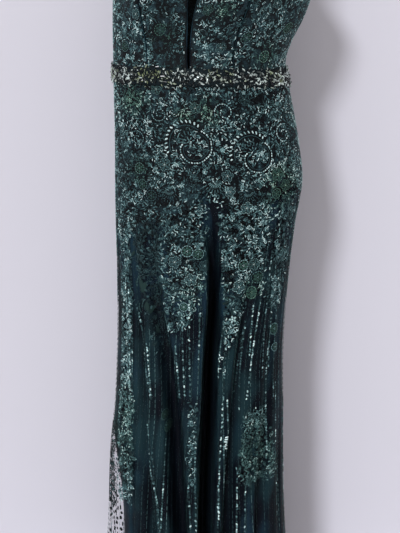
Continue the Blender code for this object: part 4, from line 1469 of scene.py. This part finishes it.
# %% Single stitches
flow, sparkle = ripples(0.021), ripples(0.030)
SCATTER_CELL, SCATTER_END_Z = 0.0038, -1.30
SWIRL, STRAY = 170, 26  # degrees that the field turns a stitch, and that chance adds


def scatter(cell):
    """Short stitches over the worked areas, which lie in swirls."""
    angle, z = jittered(cell, WORK_TOP_Z, SCATTER_END_Z).T
    points = on_form(angle, z)
    close, light, _ = worked(angle, z)
    high = z > WAIST_Z
    bare = voids(points) < np.where(high, -0.65, np.where(z < THIGH_Z, -0.50, -0.85))
    close = np.where(high, 1.0, close) * (1 - in_fold(angle, z)) * np.where(bare, 0.25, 0.95)
    light = np.where(high, BODICE_LIGHT, light)
    light = light * np.where(in_dim_panel(angle, z), DIM_LIGHT, 1.0) * patchy(angle, z)
    keep = (rng.random(len(z)) < close) & on_cloth(angle, z)
    keep &= off_belt(angle, z) & off_motifs(points)
    angle, z, points, light = angle[keep], z[keep], points[keep], light[keep]
    count = len(z)
    turn = SWIRL * flow(points) + STRAY * rng.standard_normal(count)
    tone = 0.55 + 0.27 * rng.standard_normal(count) + 0.08 * sparkle(points) + 0.08 * broad(points)
    tone = np.clip(light * tone, 0.10, 1)
    size = [0.0042 + 0.0030 * rng.random(count), 0.0013 + 0.0007 * rng.random(count)]
    return np.stack([angle, z, turn, *size, tone, greenness(angle, z)], axis=-1)


loose_stitches = scatter(SCATTER_CELL)
print("single stitches:", len(loose_stitches))

# %% [markdown]
# Under the corded stitches the lace has satin-stitched petals, which are wide, smooth and dim. One
# wide stitch each is enough, because only their middles show.

# %% Petals of the ground
PETAL_CELL, PETAL_END_Z, PETAL_SHARE = 0.0092, -1.24, 0.9
PETAL_TONES = [0.20, 0.36, 0.44, 0.54]


def ground_petals(cell, tones):
    """Single wide, dim stitches, like satin-stitched petals, under the corded ones."""
    places = jittered(cell, WORK_TOP_Z, PETAL_END_Z)
    angle, z = places.T
    close = np.where(z > WAIST_Z, 1.0, worked(angle, z)[0]) * (1 - in_fold(angle, z))
    keep = (rng.random(len(places)) < close * PETAL_SHARE) & on_cloth(angle, z)
    keep &= off_motifs(on_form(angle, z))
    angle, z = angle[keep], z[keep]
    count = len(angle)
    length = 0.0052 + 0.0035 * rng.random(count)
    width = 0.0030 + 0.0020 * rng.random(count)
    rest = [rng.choice(tones, count), greenness(angle, z)]
    return np.stack([angle, z, 360 * rng.random(count), length, width, *rest], axis=-1)


petals = ground_petals(PETAL_CELL, PETAL_TONES)
print("petals:", len(petals))

# %% [markdown]
# ## Strings of sequins
#
# Below the clusters, metallic yarn runs down the net in dashes that follow its threads. Each line
# keeps its share of a gore's width, so it bends into the folds and spreads towards the hem, as the
# cloth does. Some lines also carry sequins, about five millimetres apart, and the brightest
# strings are listed one by one. Where the net hangs past the lining, its dark yarn stands out
# against the light behind.

# %% Yarn lines and sequins
LINE_GAP = 0.0120
SEQUIN_STEP, YARN_STEP, VEIL_STEP = 0.0052, 0.0105, 0.0112
STRING_END = HEM_Z + 0.012
HEM_STITCHES, HEM_MARGIN = 300, 0.003
# The brightest strings, listed one by one: from a top place to a bottom place on the form.
Strand = namedtuple("Strand", "top angle_top bottom angle_bottom tone")
STRANDS = [
    Strand(-0.826, -50.0, -1.012, -34.0, 0.80),
    Strand(-0.902, -39.0, -1.012, -33.5, 1.00),
    Strand(-0.900, -17.0, -1.006, -13.0, 0.95),
    Strand(-0.846, -13.0, -1.000, -10.0, 0.85),
    Strand(-0.816, -8.5, -1.006, -6.0, 0.90),
    Strand(-0.778, -1.0, -0.960, -1.0, 0.75),
    Strand(-0.896, 17.5, -1.006, 16.0, 0.95),
    Strand(-0.856, 32.0, -1.000, 26.0, 0.75),
    Strand(-0.822, 36.0, -0.924, 35.0, 0.90),
    Strand(-0.812, 42.5, -1.012, 33.0, 1.00),
    Strand(-0.720, 49.0, -0.970, 47.0, 0.72),
    Strand(-0.660, 54.0, -0.960, 56.0, 0.66),
    Strand(-1.062, -39.0, -1.224, -25.0, 0.95),
    Strand(-1.180, -5.0, -1.440, -1.5, 0.90),
    Strand(-1.010, 15.5, -1.250, 14.0, 1.00),
    Strand(-1.180, 14.0, -1.440, 12.5, 0.90),
    Strand(-1.150, 27.0, -1.440, 24.5, 0.95),
    Strand(-1.190, 33.0, -1.440, 30.0, 0.80),
    Strand(-1.230, -25.0, -1.440, -19.0, 0.70),
    Strand(-0.680, -60.0, -1.010, -55.0, 0.90),
    Strand(-0.700, -64.0, -1.000, -60.0, 0.80),
    Strand(-1.080, -1.5, -1.290, 0.0, 0.90),
    Strand(-1.060, 20.0, -1.300, 18.5, 0.75),
    Strand(-1.300, 40.0, -1.440, 38.0, 0.60),
    Strand(-1.120, -30.0, -1.330, -22.0, 0.55),
    Strand(-0.700, 62.0, -1.020, 60.0, 0.62),
]
VEIL = [
    Strand(-1.150, -80.0, -1.440, -78.0, 0.0),
    Strand(-1.190, -69.0, -1.440, -66.0, 0.0),
    Strand(-1.230, -63.0, -1.440, -59.0, 0.0),
    Strand(-1.250, -58.0, -1.440, -52.5, 0.0),
]


def beads(angle, z, tone):
    """Oval sequins at these places, each catching the light in its own way."""
    count = len(z)
    shine = np.clip(tone * (0.62 + 0.30 * rng.standard_normal(count)), 0.25, 1)
    # painted shade: sequins deep in the centre front fold are darkened
    shine = shine * (1 - 0.9 * in_fold(angle, z))
    size = [0.0042 + 0.0022 * rng.random(count), 0.0025 + 0.0008 * rng.random(count)]
    turn = 90 + 25 * rng.standard_normal(count)
    return np.stack([angle, z, turn, *size, shine, np.zeros(count)], -1)


def strand_angle(row, z):
    """The angle of a strand at each height, on a straight line between its ends."""
    change = row.angle_bottom - row.angle_top
    return row.angle_top + change * (z - row.top) / (row.bottom - row.top)


def strand(row):
    """A string of sequins from its top place to its bottom place."""
    z = np.arange(row.top, row.bottom, -SEQUIN_STEP)
    z = z + 0.0012 * rng.standard_normal(len(z))
    angle = strand_angle(row, z) + 0.12 * rng.standard_normal(len(z))
    return beads(angle, z, row.tone)


def thread_angle(gore, share, z):
    """The angle of one thread of a gore, at each of these heights."""
    table = GRAIN[gore]
    column = share * (table.shape[1] - 1)
    return between(table, grid_row(z), np.full(len(z), column))


def yarn(gore, share):
    """Dashes of metallic yarn down one thread, with sequins along a stretch of it."""
    z = np.arange(THIGH_Z - 0.12 * rng.random(), STRING_END, -YARN_STEP)
    z = z + 0.001 * rng.standard_normal(len(z))
    angle = thread_angle(gore, share, z)
    free = worked(angle, z)[0] < 0.5
    z, angle = z[free], angle[free]
    count = len(z)
    light = rng.choice([0.29, 0.37, 0.54]) + 0.15 * rng.random(count)
    # painted shade: yarn deep in the centre front fold is darkened
    light *= 1 - 0.8 * in_fold(angle, z)
    line = [angle, z, *alike(count, 90.0, 0.0092, 0.0010), light, *alike(count, 0.2)]
    rows = [np.stack(line, -1)]
    behind = abs(turned(float(angle.mean()))) > 80
    if rng.random() < (0.45 if behind else 0.22):
        start = -0.80 - 0.4 * rng.random()
        z = np.arange(start, start - 0.15 - 0.2 * rng.random(), -0.0056)
        z = z[z > STRING_END]
        angle = thread_angle(gore, share, z)
        rows.append(beads(angle, z, 0.8)[worked(angle, z)[0] < 0.5])
    return np.concatenate(rows)


def veil_strand(row):
    """Dark, broad dashes that hang in a loose column."""
    z = np.arange(row.top, row.bottom, -VEIL_STEP)
    z = z + 0.001 * rng.standard_normal(len(z))
    count = len(z)
    angle = strand_angle(row, z) + 1.1 * rng.standard_normal(count)
    size = [0.0056 + 0.0078 * rng.random(count), 0.0034 + 0.0050 * rng.random(count)]
    turn = 90 + 20 * rng.standard_normal(count)
    return np.stack([angle, z, turn, *size, *alike(count, row.tone, 0.0)], -1)


def hem_stitches():
    """The net's hem is turned once and caught with short stitches."""
    angle = np.linspace(-180, 180, HEM_STITCHES, endpoint=False)
    rest = alike(HEM_STITCHES, HEM_Z + HEM_MARGIN, 0.0, 0.0034, 0.0012, 0.40, 0.0)
    return np.stack([angle, *rest], -1)


KNEE_Z = -1.0
strings = [strand(row) for row in STRANDS] + [veil_strand(row) for row in VEIL] + [hem_stitches()]
for gore in GORES:
    knee = GRAIN[gore][int((TOP_Z - KNEE_Z) / STEP_Z)]
    knee_points = on_form(knee, np.full(len(knee), KNEE_Z))
    lines = int(np.linalg.norm(np.diff(knee_points, axis=0), axis=-1).sum() / LINE_GAP)
    for line in range(lines):
        share = (line + 0.5 + 0.5 * (rng.random() - 0.5)) / lines
        strings.append(yarn(gore, share))
strings = np.concatenate(strings)
print(len(strings), "stitches in the yarn lines")

# %% [markdown]
# The stitches are gathered by gore, so that each piece of embroidery belongs to its own piece of
# cloth, and none is too large to handle.

# %% Lay the embroidery
SEAM_CLEAR, EDGE_CLEAR = 0.7, 0.0025  # degrees and metres that stay free beside seams and edges
PAINTED_FOLD_SHADE_SHARE = 0.7  # the share of its brightness that a stitch loses deep in a fold
LEVELS = (("bodice", "bodice_lace"), ("skirt", "embroidered_net"))
everything = np.concatenate([petals, loose_stitches, small, large, strings])
# painted shade: each stitch is darkened by how deep in a fold it lies
everything[:, 5] *= 1 - PAINTED_FOLD_SHADE_SHARE * folded(everything[:, 0], everything[:, 1])
on_bodice = everything[:, 1] > WAIST_Z
from_front = turned(everything[:, 0] - front(everything[:, 1]))
from_princess = np.abs(np.abs(from_front) - princess(everything[:, 1]))
held = on_cloth(everything[:, 0], everything[:, 1], EDGE_CLEAR)
loose = on_bodice & ((from_princess < SEAM_CLEAR) | ~held)
everything, on_bodice, from_front = everything[~loose], on_bodice[~loose], from_front[~loose]
for word, low, high in (("right", -180, 0), ("left", 0, 180)):
    for part, near, far in (("front", 0, SIDE), ("back", SIDE, 180.1)):
        mine = (from_front >= low) & (from_front < high + 0.001)
        mine &= (np.abs(from_front) >= near) & (np.abs(from_front) < far)
        for level, slot in LEVELS:
            sewn = everything[mine & (on_bodice == (level == "bodice"))]
            name = f"embroidery_{level}_{part}_{word}"
            lay_stitches(name, form_frames(sewn[:, 0], sewn[:, 1]), sewn)

# %% [markdown]
# The straps are worked in the same way. A strap is no part of the form, so its own grid of points
# gives the frames: rows run from back to front, so the way up the cloth is against them.

# %% Work the straps
STRAP_MOTIFS, STRAP_TONES = 320, [0.55, 0.75, 0.95]
STRAP_SIDE_CLEAR, STRAP_END_CLEAR = 0.45, 0.3  # steps of the strap's grid


def on_strap(grid, row, column):
    """Points of a strap, between those of its grid, with the ways across, up and out of it."""
    across, up = unit(np.gradient(grid, axis=1)), unit(-np.gradient(grid, axis=0))
    tables = (grid, across, up, unit(np.cross(across, up)))
    return [between(table, row, column) for table in tables]


for word, grid in STRAPS.items():
    row_step = np.linalg.norm(np.diff(grid, axis=0), axis=-1).mean() * 1000
    column_step = np.linalg.norm(np.diff(grid, axis=1), axis=-1).mean() * 1000
    last_row, last_column = grid.shape[0] - 1, grid.shape[1] - 1
    sewn = []
    for _ in range(STRAP_MOTIFS):
        motif = moved(MOTIFS[rng.choice(FILL_KINDS, p=FILL_SHARES)], 0.0, 0.0, 360 * rng.random())
        motif[:, 0] = motif[:, 0] / column_step + last_column * rng.random()
        motif[:, 1] = last_row * rng.random() - motif[:, 1] / row_step
        motif[:, 3:5] /= 1000
        motif[:, 5] *= rng.choice(STRAP_TONES)
        sewn.append(motif)
    sewn = np.concatenate(sewn)
    inside = np.abs(sewn[:, 0] - last_column / 2) < last_column / 2 - STRAP_SIDE_CLEAR
    inside &= np.abs(sewn[:, 1] - last_row / 2) < last_row / 2 - STRAP_END_CLEAR
    sewn = sewn[inside]
    frames = on_strap(grid, sewn[:, 1], sewn[:, 0])
    lay_stitches(f"embroidery_strap_{word}", frames, sewn)

# %% [markdown]
# ## The belt
#
# A ribbon covers the waist seam, open at the zip, and it is crowded with stones and beads at every
# angle. Each kind is modelled once from a primitive. Then its mesh is copied along the ribbon with
# its own turn, tilt and size.

# %% Belt ribbon
BELT_CLEAR, BELT_THICK, BELT_ROWS, BELT_COLUMNS = 0.0006, 0.0018, 7, 200
BELT_END = 1.2  # degrees from the centre back to each end of the ribbon
belt_angles = front(WAIST_Z) + np.linspace(-180 + BELT_END, 180 - BELT_END, BELT_COLUMNS)
belt_rise = np.linspace(1, -1, BELT_ROWS)[:, None] * BELT_HALF_HEIGHT
belt_levels = waist_z(belt_angles)[None, :] + belt_rise
crown = BELT_CLEAR + BELT_THICK * (1 - 0.5 * (belt_rise / BELT_HALF_HEIGHT) ** 4)
crown = np.tile(crown, (1, BELT_COLUMNS))
belt_points = on_form(np.tile(belt_angles, (BELT_ROWS, 1)), belt_levels, crown)


def make_ribbon():
    finish = Finish("belt_ribbon", Roughness=0.7, Specular_IOR_Level=0.15)
    weave = finish.noise(900.0, 1.0)
    finish.feed(Base_Color=finish.mix(weave * 0.35, VOID, TEAL))
    finish.relief(weave, 0.0003, 0.6)
    return finish.material


RIBBON = make_ribbon()
faces = grid_faces(BELT_ROWS, BELT_COLUMNS)
piece = add_piece("belt_ribbon", belt_points, faces, RIBBON, ["waist_belt"])
thicken(piece, BELT_THICK * 0.5)

# %% [markdown]
# The stones are small, so each has few faces. A navette starts as a short six-sided cylinder: its
# top face is extruded and drawn in to make facets, and the whole is narrowed to a long oval. A
# round stone has two such steps, for its cup and its crown. A bugle is a plain six-sided rod on its
# side, and a seed bead is a small sphere.


# %% Stones and beads, modelled once
def edit_top(scale, rise):
    """Extrudes the top face of the active mesh by rise, and draws it in to scale."""
    flat = 1e-6
    shape = bpy.context.object
    top = max(v.co.z for v in shape.data.vertices)
    bpy.ops.object.mode_set(mode="EDIT")
    bpy.ops.mesh.select_mode(type="FACE")
    bpy.ops.mesh.select_all(action="DESELECT")
    bpy.ops.object.mode_set(mode="OBJECT")
    for polygon in shape.data.polygons:
        heights = [shape.data.vertices[i].co.z for i in polygon.vertices]
        polygon.select = all(abs(height - top) < flat for height in heights)
    bpy.ops.object.mode_set(mode="EDIT")
    bpy.ops.mesh.extrude_region_move(TRANSFORM_OT_translate={"value": (0, 0, rise)})
    bpy.ops.transform.resize(value=(scale, scale, 1.0))
    bpy.ops.object.mode_set(mode="OBJECT")


def model_navette():
    bpy.ops.mesh.primitive_cylinder_add(vertices=6, radius=0.5, depth=0.12, location=(0, 0, 0.06))
    edit_top(0.62, 0.14)
    bpy.context.object.scale = (1.0, 0.40, 1.0)


def model_round_stone():
    bpy.ops.mesh.primitive_cylinder_add(vertices=8, radius=0.5, depth=0.26, location=(0, 0, 0.13))
    edit_top(0.84, 0.04)
    edit_top(0.60, 0.16)


def model_bugle():
    bpy.ops.mesh.primitive_cylinder_add(
        vertices=6, radius=0.17, depth=1.0, location=(0, 0, 0.17), rotation=(0, np.pi / 2, 0)
    )


def model_seed():
    bpy.ops.mesh.primitive_ico_sphere_add(subdivisions=1, radius=0.5, location=(0, 0, 0.34))


def modelled_once(model):
    """Runs a modelling function and gives its mesh as points and triangles."""
    bpy.ops.object.select_all(action="DESELECT")
    model()
    shape = bpy.context.object
    bpy.ops.object.transform_apply(location=True, rotation=True, scale=True)
    step = shape.modifiers.new("triangles", "TRIANGULATE")
    bpy.ops.object.modifier_apply(modifier=step.name)
    points = np.array([v.co for v in shape.data.vertices])
    faces = np.array([p.vertices for p in shape.data.polygons])
    bpy.data.objects.remove(shape)
    return points, faces


MODELS = {
    "navettes": model_navette,
    "round_stones": model_round_stone,
    "bugles": model_bugle,
    "seeds": model_seed,
}
TRIMS = {name: modelled_once(model) for name, model in MODELS.items()}
print({name: len(faces) for name, (points, faces) in TRIMS.items()})

# %% [markdown]
# The trim's edge is ragged: some stones hang over the ribbon's edge. One material serves them all.
# An attribute for tone takes it from black to clear silver, and one for olive takes the light
# stones to olive gold, which comes and goes round the belt.

# %% Set the stones
JET, CLEAR, OLIVE = (0.003, 0.006, 0.008), (0.66, 0.78, 0.76), (0.27, 0.33, 0.18)


def make_stone():
    finish = Finish("belt_stone", Roughness=0.22, Coat_Weight=0.25, Coat_Roughness=0.06)
    finish.shader.inputs["Specular IOR Level"].default_value = 0.25
    tone, olive = finish.attribute("tone"), finish.attribute("olive")
    light = finish.mix(olive, CLEAR, OLIVE)
    finish.feed(Base_Color=finish.mix(tone, JET, light), Metallic=tone * 0.3 + 0.1)
    return finish.material


STONE = make_stone()
STONE_TONES = [0.0, 0.08, 0.45, 1.0]  # black, smoky, grey and clear
TURNS = [20, -20, 70, 110, 90, 0]  # the ways that a stone may lie, in degrees
GAP_AT_ZIP = 1.6  # degrees from the centre back to the nearest stones
LEAST_LIFT = 0.0012
OLIVE_WAVE, OLIVE_AT, OLIVE_SPREAD = 7.0, -38.0, 40.0  # degrees

# reach is how far the stones spread, in half heights of the ribbon. tones are the shares of them
# that are black, smoky, grey and clear.
Trim = namedtuple("Trim", "name count size reach lift tones")
TRIM_ROWS = [
    Trim("navettes", 560, 0.0070, 0.95, 0.0008, (0.34, 0.14, 0.20, 0.32)),
    Trim("round_stones", 240, 0.0036, 0.95, 0.0006, (0.40, 0.20, 0.20, 0.20)),
    Trim("bugles", 700, 0.0060, 1.12, 0.0006, (0.46, 0.16, 0.20, 0.18)),
    Trim("seeds", 1400, 0.0021, 1.20, 0.0003, (0.60, 0.18, 0.12, 0.10)),
]


def set_stones(trim):
    """Copies one kind of stone along the belt, and gives each copy its own place and tone."""
    points, faces = TRIMS[trim.name]
    count = trim.count
    spread = (np.arange(count) + rng.random(count)) / count
    angle = front(WAIST_Z) - 180 + GAP_AT_ZIP + spread * (360 - 2 * GAP_AT_ZIP)
    across = trim.reach * BELT_HALF_HEIGHT * np.clip(rng.standard_normal(count) * 0.50, -1, 1)
    z = waist_z(angle) + across
    turn = np.radians(rng.choice(TURNS, count) + 25 * rng.standard_normal(count))
    size = trim.size * (0.75 + 0.5 * rng.random(count))
    lean = np.radians(13 * rng.standard_normal((count, 2)))
    u, v, w = (points[:, i][None, :] * size[:, None] for i in range(3))
    along = u * np.cos(turn)[:, None] - v * np.sin(turn)[:, None]
    up = u * np.sin(turn)[:, None] + v * np.cos(turn)[:, None]
    lift = BELT_CLEAR + BELT_THICK * 0.75 + trim.lift + w
    lift = np.maximum(lift + along * np.tan(lean[:, :1]) + up * np.tan(lean[:, 1:]), LEAST_LIFT)
    per_degree = look_up(GRID_PER_DEGREE, angle, z)[:, None]
    where = on_form(angle[:, None] + along / per_degree, z[:, None] + up, lift)
    tone = rng.choice(STONE_TONES, count, p=trim.tones)
    olive = 0.5 * np.sin(angle / OLIVE_WAVE) + 0.8 * bump((angle - OLIVE_AT) / OLIVE_SPREAD)
    olive = np.clip(olive + 0.4 * rng.standard_normal(count) - 0.2, 0, 1)
    copies = copied_faces(faces, count, len(points))
    per_point = {"tone": np.repeat(tone, len(points)), "olive": np.repeat(olive, len(points))}
    add_piece(f"belt_{trim.name}", where, copies, STONE, (), per_point, smooth=False)
    print(f"belt_{trim.name}: {count} copies, {len(copies)} triangles")


for trim in TRIM_ROWS:
    set_stones(trim)

# %% [markdown]
# ## Bindings, piping and seam tapes
#
# The raw edges of the neckline, plunge, armholes and straps are bound with a narrow satin cord. It
# is a tube of eight sides that follows the edge's own points. The same tube makes the piping in
# the front princess seams, the tapes that cover the back's seams from inside, and the bindings of
# the lining's three seams. To keep the tube from twisting, each ring takes its sideways direction
# from the ring before it.


# %% A cord along a path
def tube(name, path, radius, sides=8):
    """A round satin cord along a path of points, with capped ends."""
    way = np.gradient(path, axis=0)
    way /= np.linalg.norm(way, axis=-1, keepdims=True)
    side_way = np.cross(way, np.array([0.0, 0.0, 1.0]))
    upright = np.linalg.norm(side_way, axis=-1) < 0.2
    side_way[upright] = np.cross(way[upright], np.array([0.0, 1.0, 0.0]))
    for i in range(1, len(path)):
        flat = side_way[i - 1] - way[i] * (side_way[i - 1] @ way[i])
        side_way[i] = flat / np.linalg.norm(flat)
    side_way /= np.linalg.norm(side_way, axis=-1, keepdims=True)
    up_way = np.cross(way, side_way)
    turn = np.arange(sides) * 2 * np.pi / sides
    circle = np.stack([np.cos(turn), np.sin(turn)])[:, None, :, None]
    spread = circle[0] * side_way[:, None] + circle[1] * up_way[:, None]
    rings = path[:, None] + radius * spread
    corner = np.arange(len(path) * sides).reshape(len(path), sides)
    ahead = np.roll(corner, -1, axis=1)
    quads = np.stack([corner[:-1], ahead[:-1], ahead[1:], corner[1:]], -1).reshape(-1, 4)
    caps = [corner[0][::-1].tolist(), corner[-1].tolist()]
    add_piece(name, rings, quads.tolist() + caps, SATIN)


# %% Bind the edges and seams
CORD_RADIUS, PIPING_RADIUS, LINING_SEAM_RADIUS = 0.0012, 0.0010, 0.0008
PIPING_LIFT = 0.0004
SEAM_END, SEAM_POINTS = 0.001, 120
MID_WALL, TAPE_INSIDE = -BODICE_THICK / 2, -BODICE_THICK - PIPING_RADIUS / 2
for word, inner, outer in (("right", -1, 0), ("left", 0, -1)):
    for panel in PANELS:
        angles, levels = bodice_edges[panel, word]
        if panel == "centre_front":
            edge = on_form(angles[1:, inner], levels[1:, inner], MID_WALL)
            tube(f"cord_plunge_{word}", edge, CORD_RADIUS)
            seam = on_form(angles[:, outer], levels[:, outer], PIPING_LIFT)
            tube(f"piping_{word}", seam, PIPING_RADIUS)
        if panel in ("side_back", "centre_back"):
            seam = on_form(angles[:, inner], levels[:, inner], TAPE_INSIDE)
            tube(f"seam_tape_{panel}_{word}", seam, PIPING_RADIUS)
        rim = on_form(angles[0], levels[0], MID_WALL)
        tube(f"cord_{panel}_{word}", rim, CORD_RADIUS)
    tube(f"cord_strap_inner_{word}", STRAPS[word][:, inner], CORD_RADIUS)
    tube(f"cord_strap_outer_{word}", STRAPS[word][:, outer], CORD_RADIUS)
for name, seam_angle in (("left", SIDE), ("back", BACK), ("right", -SIDE)):
    top = float(waist_z(front(WAIST_Z) + seam_angle)) - 2 * SEAM_END
    levels = np.linspace(top, LINING_HEM_Z + SEAM_END, SEAM_POINTS)
    angles = front(levels) + seam_angle
    path = drawn_in(on_form(angles, levels, LINING_LIFT - LINING_THICK), angles, levels)
    tube(f"lining_seam_{name}", path, LINING_SEAM_RADIUS)
print("bound the edges with", CORD_RADIUS * 2000, "mm cord")

# %% [markdown]
# ## The zip
#
# The zip at the centre back is a concealed one: its tape lies behind the cloth, and its coil faces
# inwards, so that only the slider and its pull show. The coil is a row of short stitches, sewn on
# frames that are turned to face the wearer. The CAD's slider and pull have the right shape, so
# they stay, in dark lacquered metal.

# %% Zip tape
ZIP_TOP_Z, ZIP_END_Z = -0.193, -0.590
TAPE_HALF_WIDTH, TAPE_LIFT, TAPE_THICK = 0.024, -0.0034, 0.0010
TAPE_ROWS, TAPE_COLUMNS = 100, 15
tape_z = np.linspace(ZIP_TOP_Z, ZIP_END_Z, TAPE_ROWS)[:, None] + np.zeros((1, TAPE_COLUMNS))
tape_degrees = np.degrees(TAPE_HALF_WIDTH / read(SECTIONS, "half_width", tape_z))
tape_angles = front(tape_z) + 180 + np.linspace(-1, 1, TAPE_COLUMNS) * tape_degrees
tape_points = on_form(tape_angles, tape_z, TAPE_LIFT)
faces = grid_faces(TAPE_ROWS, TAPE_COLUMNS)
piece = add_piece("zip_tape_weave", tape_points, faces, RIBBON, ["zip_tape"])
thicken(piece, TAPE_THICK)

# %% Zip coil
COIL_STEP, COIL_WIDE, COIL_THICK = 0.0013, 0.0032, 0.0012
COIL_TOP_Z, COIL_END_Z = ZIP_TOP_Z - 0.006, ZIP_END_Z + 0.004
coil_z = np.arange(COIL_TOP_Z, COIL_END_Z, -COIL_STEP)
coil_angles = front(coil_z) + 180
point, across, up, out = form_frames(coil_angles, coil_z)
inside_out = [point + out * (TAPE_LIFT - TAPE_THICK + SUNK), -across, up, -out]
coil = alike(len(coil_z), 0.0, COIL_WIDE, COIL_THICK, 0.45, 0.0)
coil = np.stack([coil_angles, coil_z, *coil], -1)
lay_stitches("zip_coil", inside_out, coil)

# %% Slider and pull
LACQUER_DARK, LACQUER_WORN = (0.014, 0.034, 0.038), (0.110, 0.140, 0.140)


def make_lacquer():
    finish = Finish("lacquered_metal", Metallic=0.8, Coat_Weight=0.5, Coat_Roughness=0.15)
    scuffs = finish.noise(900.0, 3.0)
    worn = finish.ease(scuffs, 0.56, 0.72)
    finish.feed(
        Base_Color=finish.mix(worn, LACQUER_DARK, LACQUER_WORN),
        Roughness=scuffs * 0.25 + 0.18,
    )
    finish.relief(scuffs, 0.00005)
    return finish.material


LACQUER = make_lacquer()
for name in ("zip_slider", "zip_pull"):
    for material_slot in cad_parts[name].material_slots:
        material_slot.material = LACQUER
print("lacquered the zip's slider and pull")

# %% [markdown]
# ## The stage, the light and the camera
#
# The gown stands before a pale wall, over a pale floor. The key light is large and soft, and comes
# from the upper left, so that it models the folds and stitches. The room's own light fills the
# other side. The wall is clear from behind, so that the gown's back can be looked at too. The
# camera stands a few paces off with a long lens, which keeps perspective small.

# %% Stage
WALL_Y, WALL_SIZE = 0.190, 6.0
FLOOR_Z, FLOOR_SIZE = HEM_Z - 0.02, 8.0


def make_wall():
    finish = Finish("wall_paint", Roughness=0.9, Base_Color=(0.694, 0.688, 0.760, 1.0))
    tree = finish.tree
    geometry = tree.nodes.new("ShaderNodeNewGeometry")
    clear = tree.nodes.new("ShaderNodeBsdfTransparent")
    choose = tree.nodes.new("ShaderNodeMixShader")
    tree.links.new(geometry.outputs["Backfacing"], choose.inputs[0])
    tree.links.new(finish.shader.outputs[0], choose.inputs[1])
    tree.links.new(clear.outputs[0], choose.inputs[2])
    tree.links.new(choose.outputs[0], tree.nodes["Material Output"].inputs["Surface"])
    return finish.material


def stage_plane(name, size, location, rotation, material):
    bpy.ops.mesh.primitive_plane_add(size=size, location=location, rotation=rotation)
    plane = bpy.context.object
    plane.name = name
    plane.data.materials.append(material)
    return plane


bpy.ops.object.select_all(action="DESELECT")
FLOOR_PAINT = Finish("floor_paint", Roughness=0.8, Base_Color=(0.72, 0.71, 0.72, 1.0)).material
floor = stage_plane("floor", FLOOR_SIZE, (0, 0, FLOOR_Z), (0, 0, 0), FLOOR_PAINT)
wall_middle = (0, WALL_Y, FLOOR_Z + WALL_SIZE / 2)
wall = stage_plane("wall", WALL_SIZE, wall_middle, (np.pi / 2, 0, 0), make_wall())
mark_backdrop(floor, wall)

# %% Light
KEY_FROM, KEY_STRENGTH, KEY_ANGLE = (-0.48, -1.0, 0.62), 1.82, 12.0
KEY_COLOUR, ROOM_COLOUR, ROOM_STRENGTH = (0.95, 0.96, 1.0), (0.99, 0.94, 0.91, 1.0), 0.58
key_data = bpy.data.lights.new("key", "SUN")
key_data.energy, key_data.color = KEY_STRENGTH, KEY_COLOUR
key_data.angle = np.radians(KEY_ANGLE)
key = bpy.data.objects.new("key", key_data)
key.rotation_euler = Vector(KEY_FROM).to_track_quat("Z", "Y").to_euler()
bpy.context.scene.collection.objects.link(key)
world = bpy.data.worlds.new("room")
bpy.context.scene.world = world
world.use_nodes = True
room = world.node_tree.nodes["Background"]
room.inputs["Color"].default_value = ROOM_COLOUR
room.inputs["Strength"].default_value = ROOM_STRENGTH
print("key light", KEY_STRENGTH, "and room light", ROOM_STRENGTH)

# %% Camera
CAMERA_PLACE, CAMERA_AIM, CAMERA_LENS = (-0.026, -2.4, -0.205), (-0.026, 0.0, -0.765), 83.6
look = Vector(CAMERA_AIM) - Vector(CAMERA_PLACE)
camera = bpy.data.objects.new("camera", bpy.data.cameras.new("camera"))
camera.location = CAMERA_PLACE
camera.rotation_euler = look.to_track_quat("-Z", "Y").to_euler()
camera.data.lens = CAMERA_LENS
bpy.context.scene.collection.objects.link(camera)
bpy.context.scene.camera = camera
bpy.context.scene.view_settings.view_transform = "Standard"
print("camera", round(look.length, 2), "m from its aim, with a", CAMERA_LENS, "mm lens")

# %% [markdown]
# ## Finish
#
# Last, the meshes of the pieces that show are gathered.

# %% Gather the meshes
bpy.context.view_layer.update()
meshes = [piece.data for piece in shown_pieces() if piece.type == "MESH"]
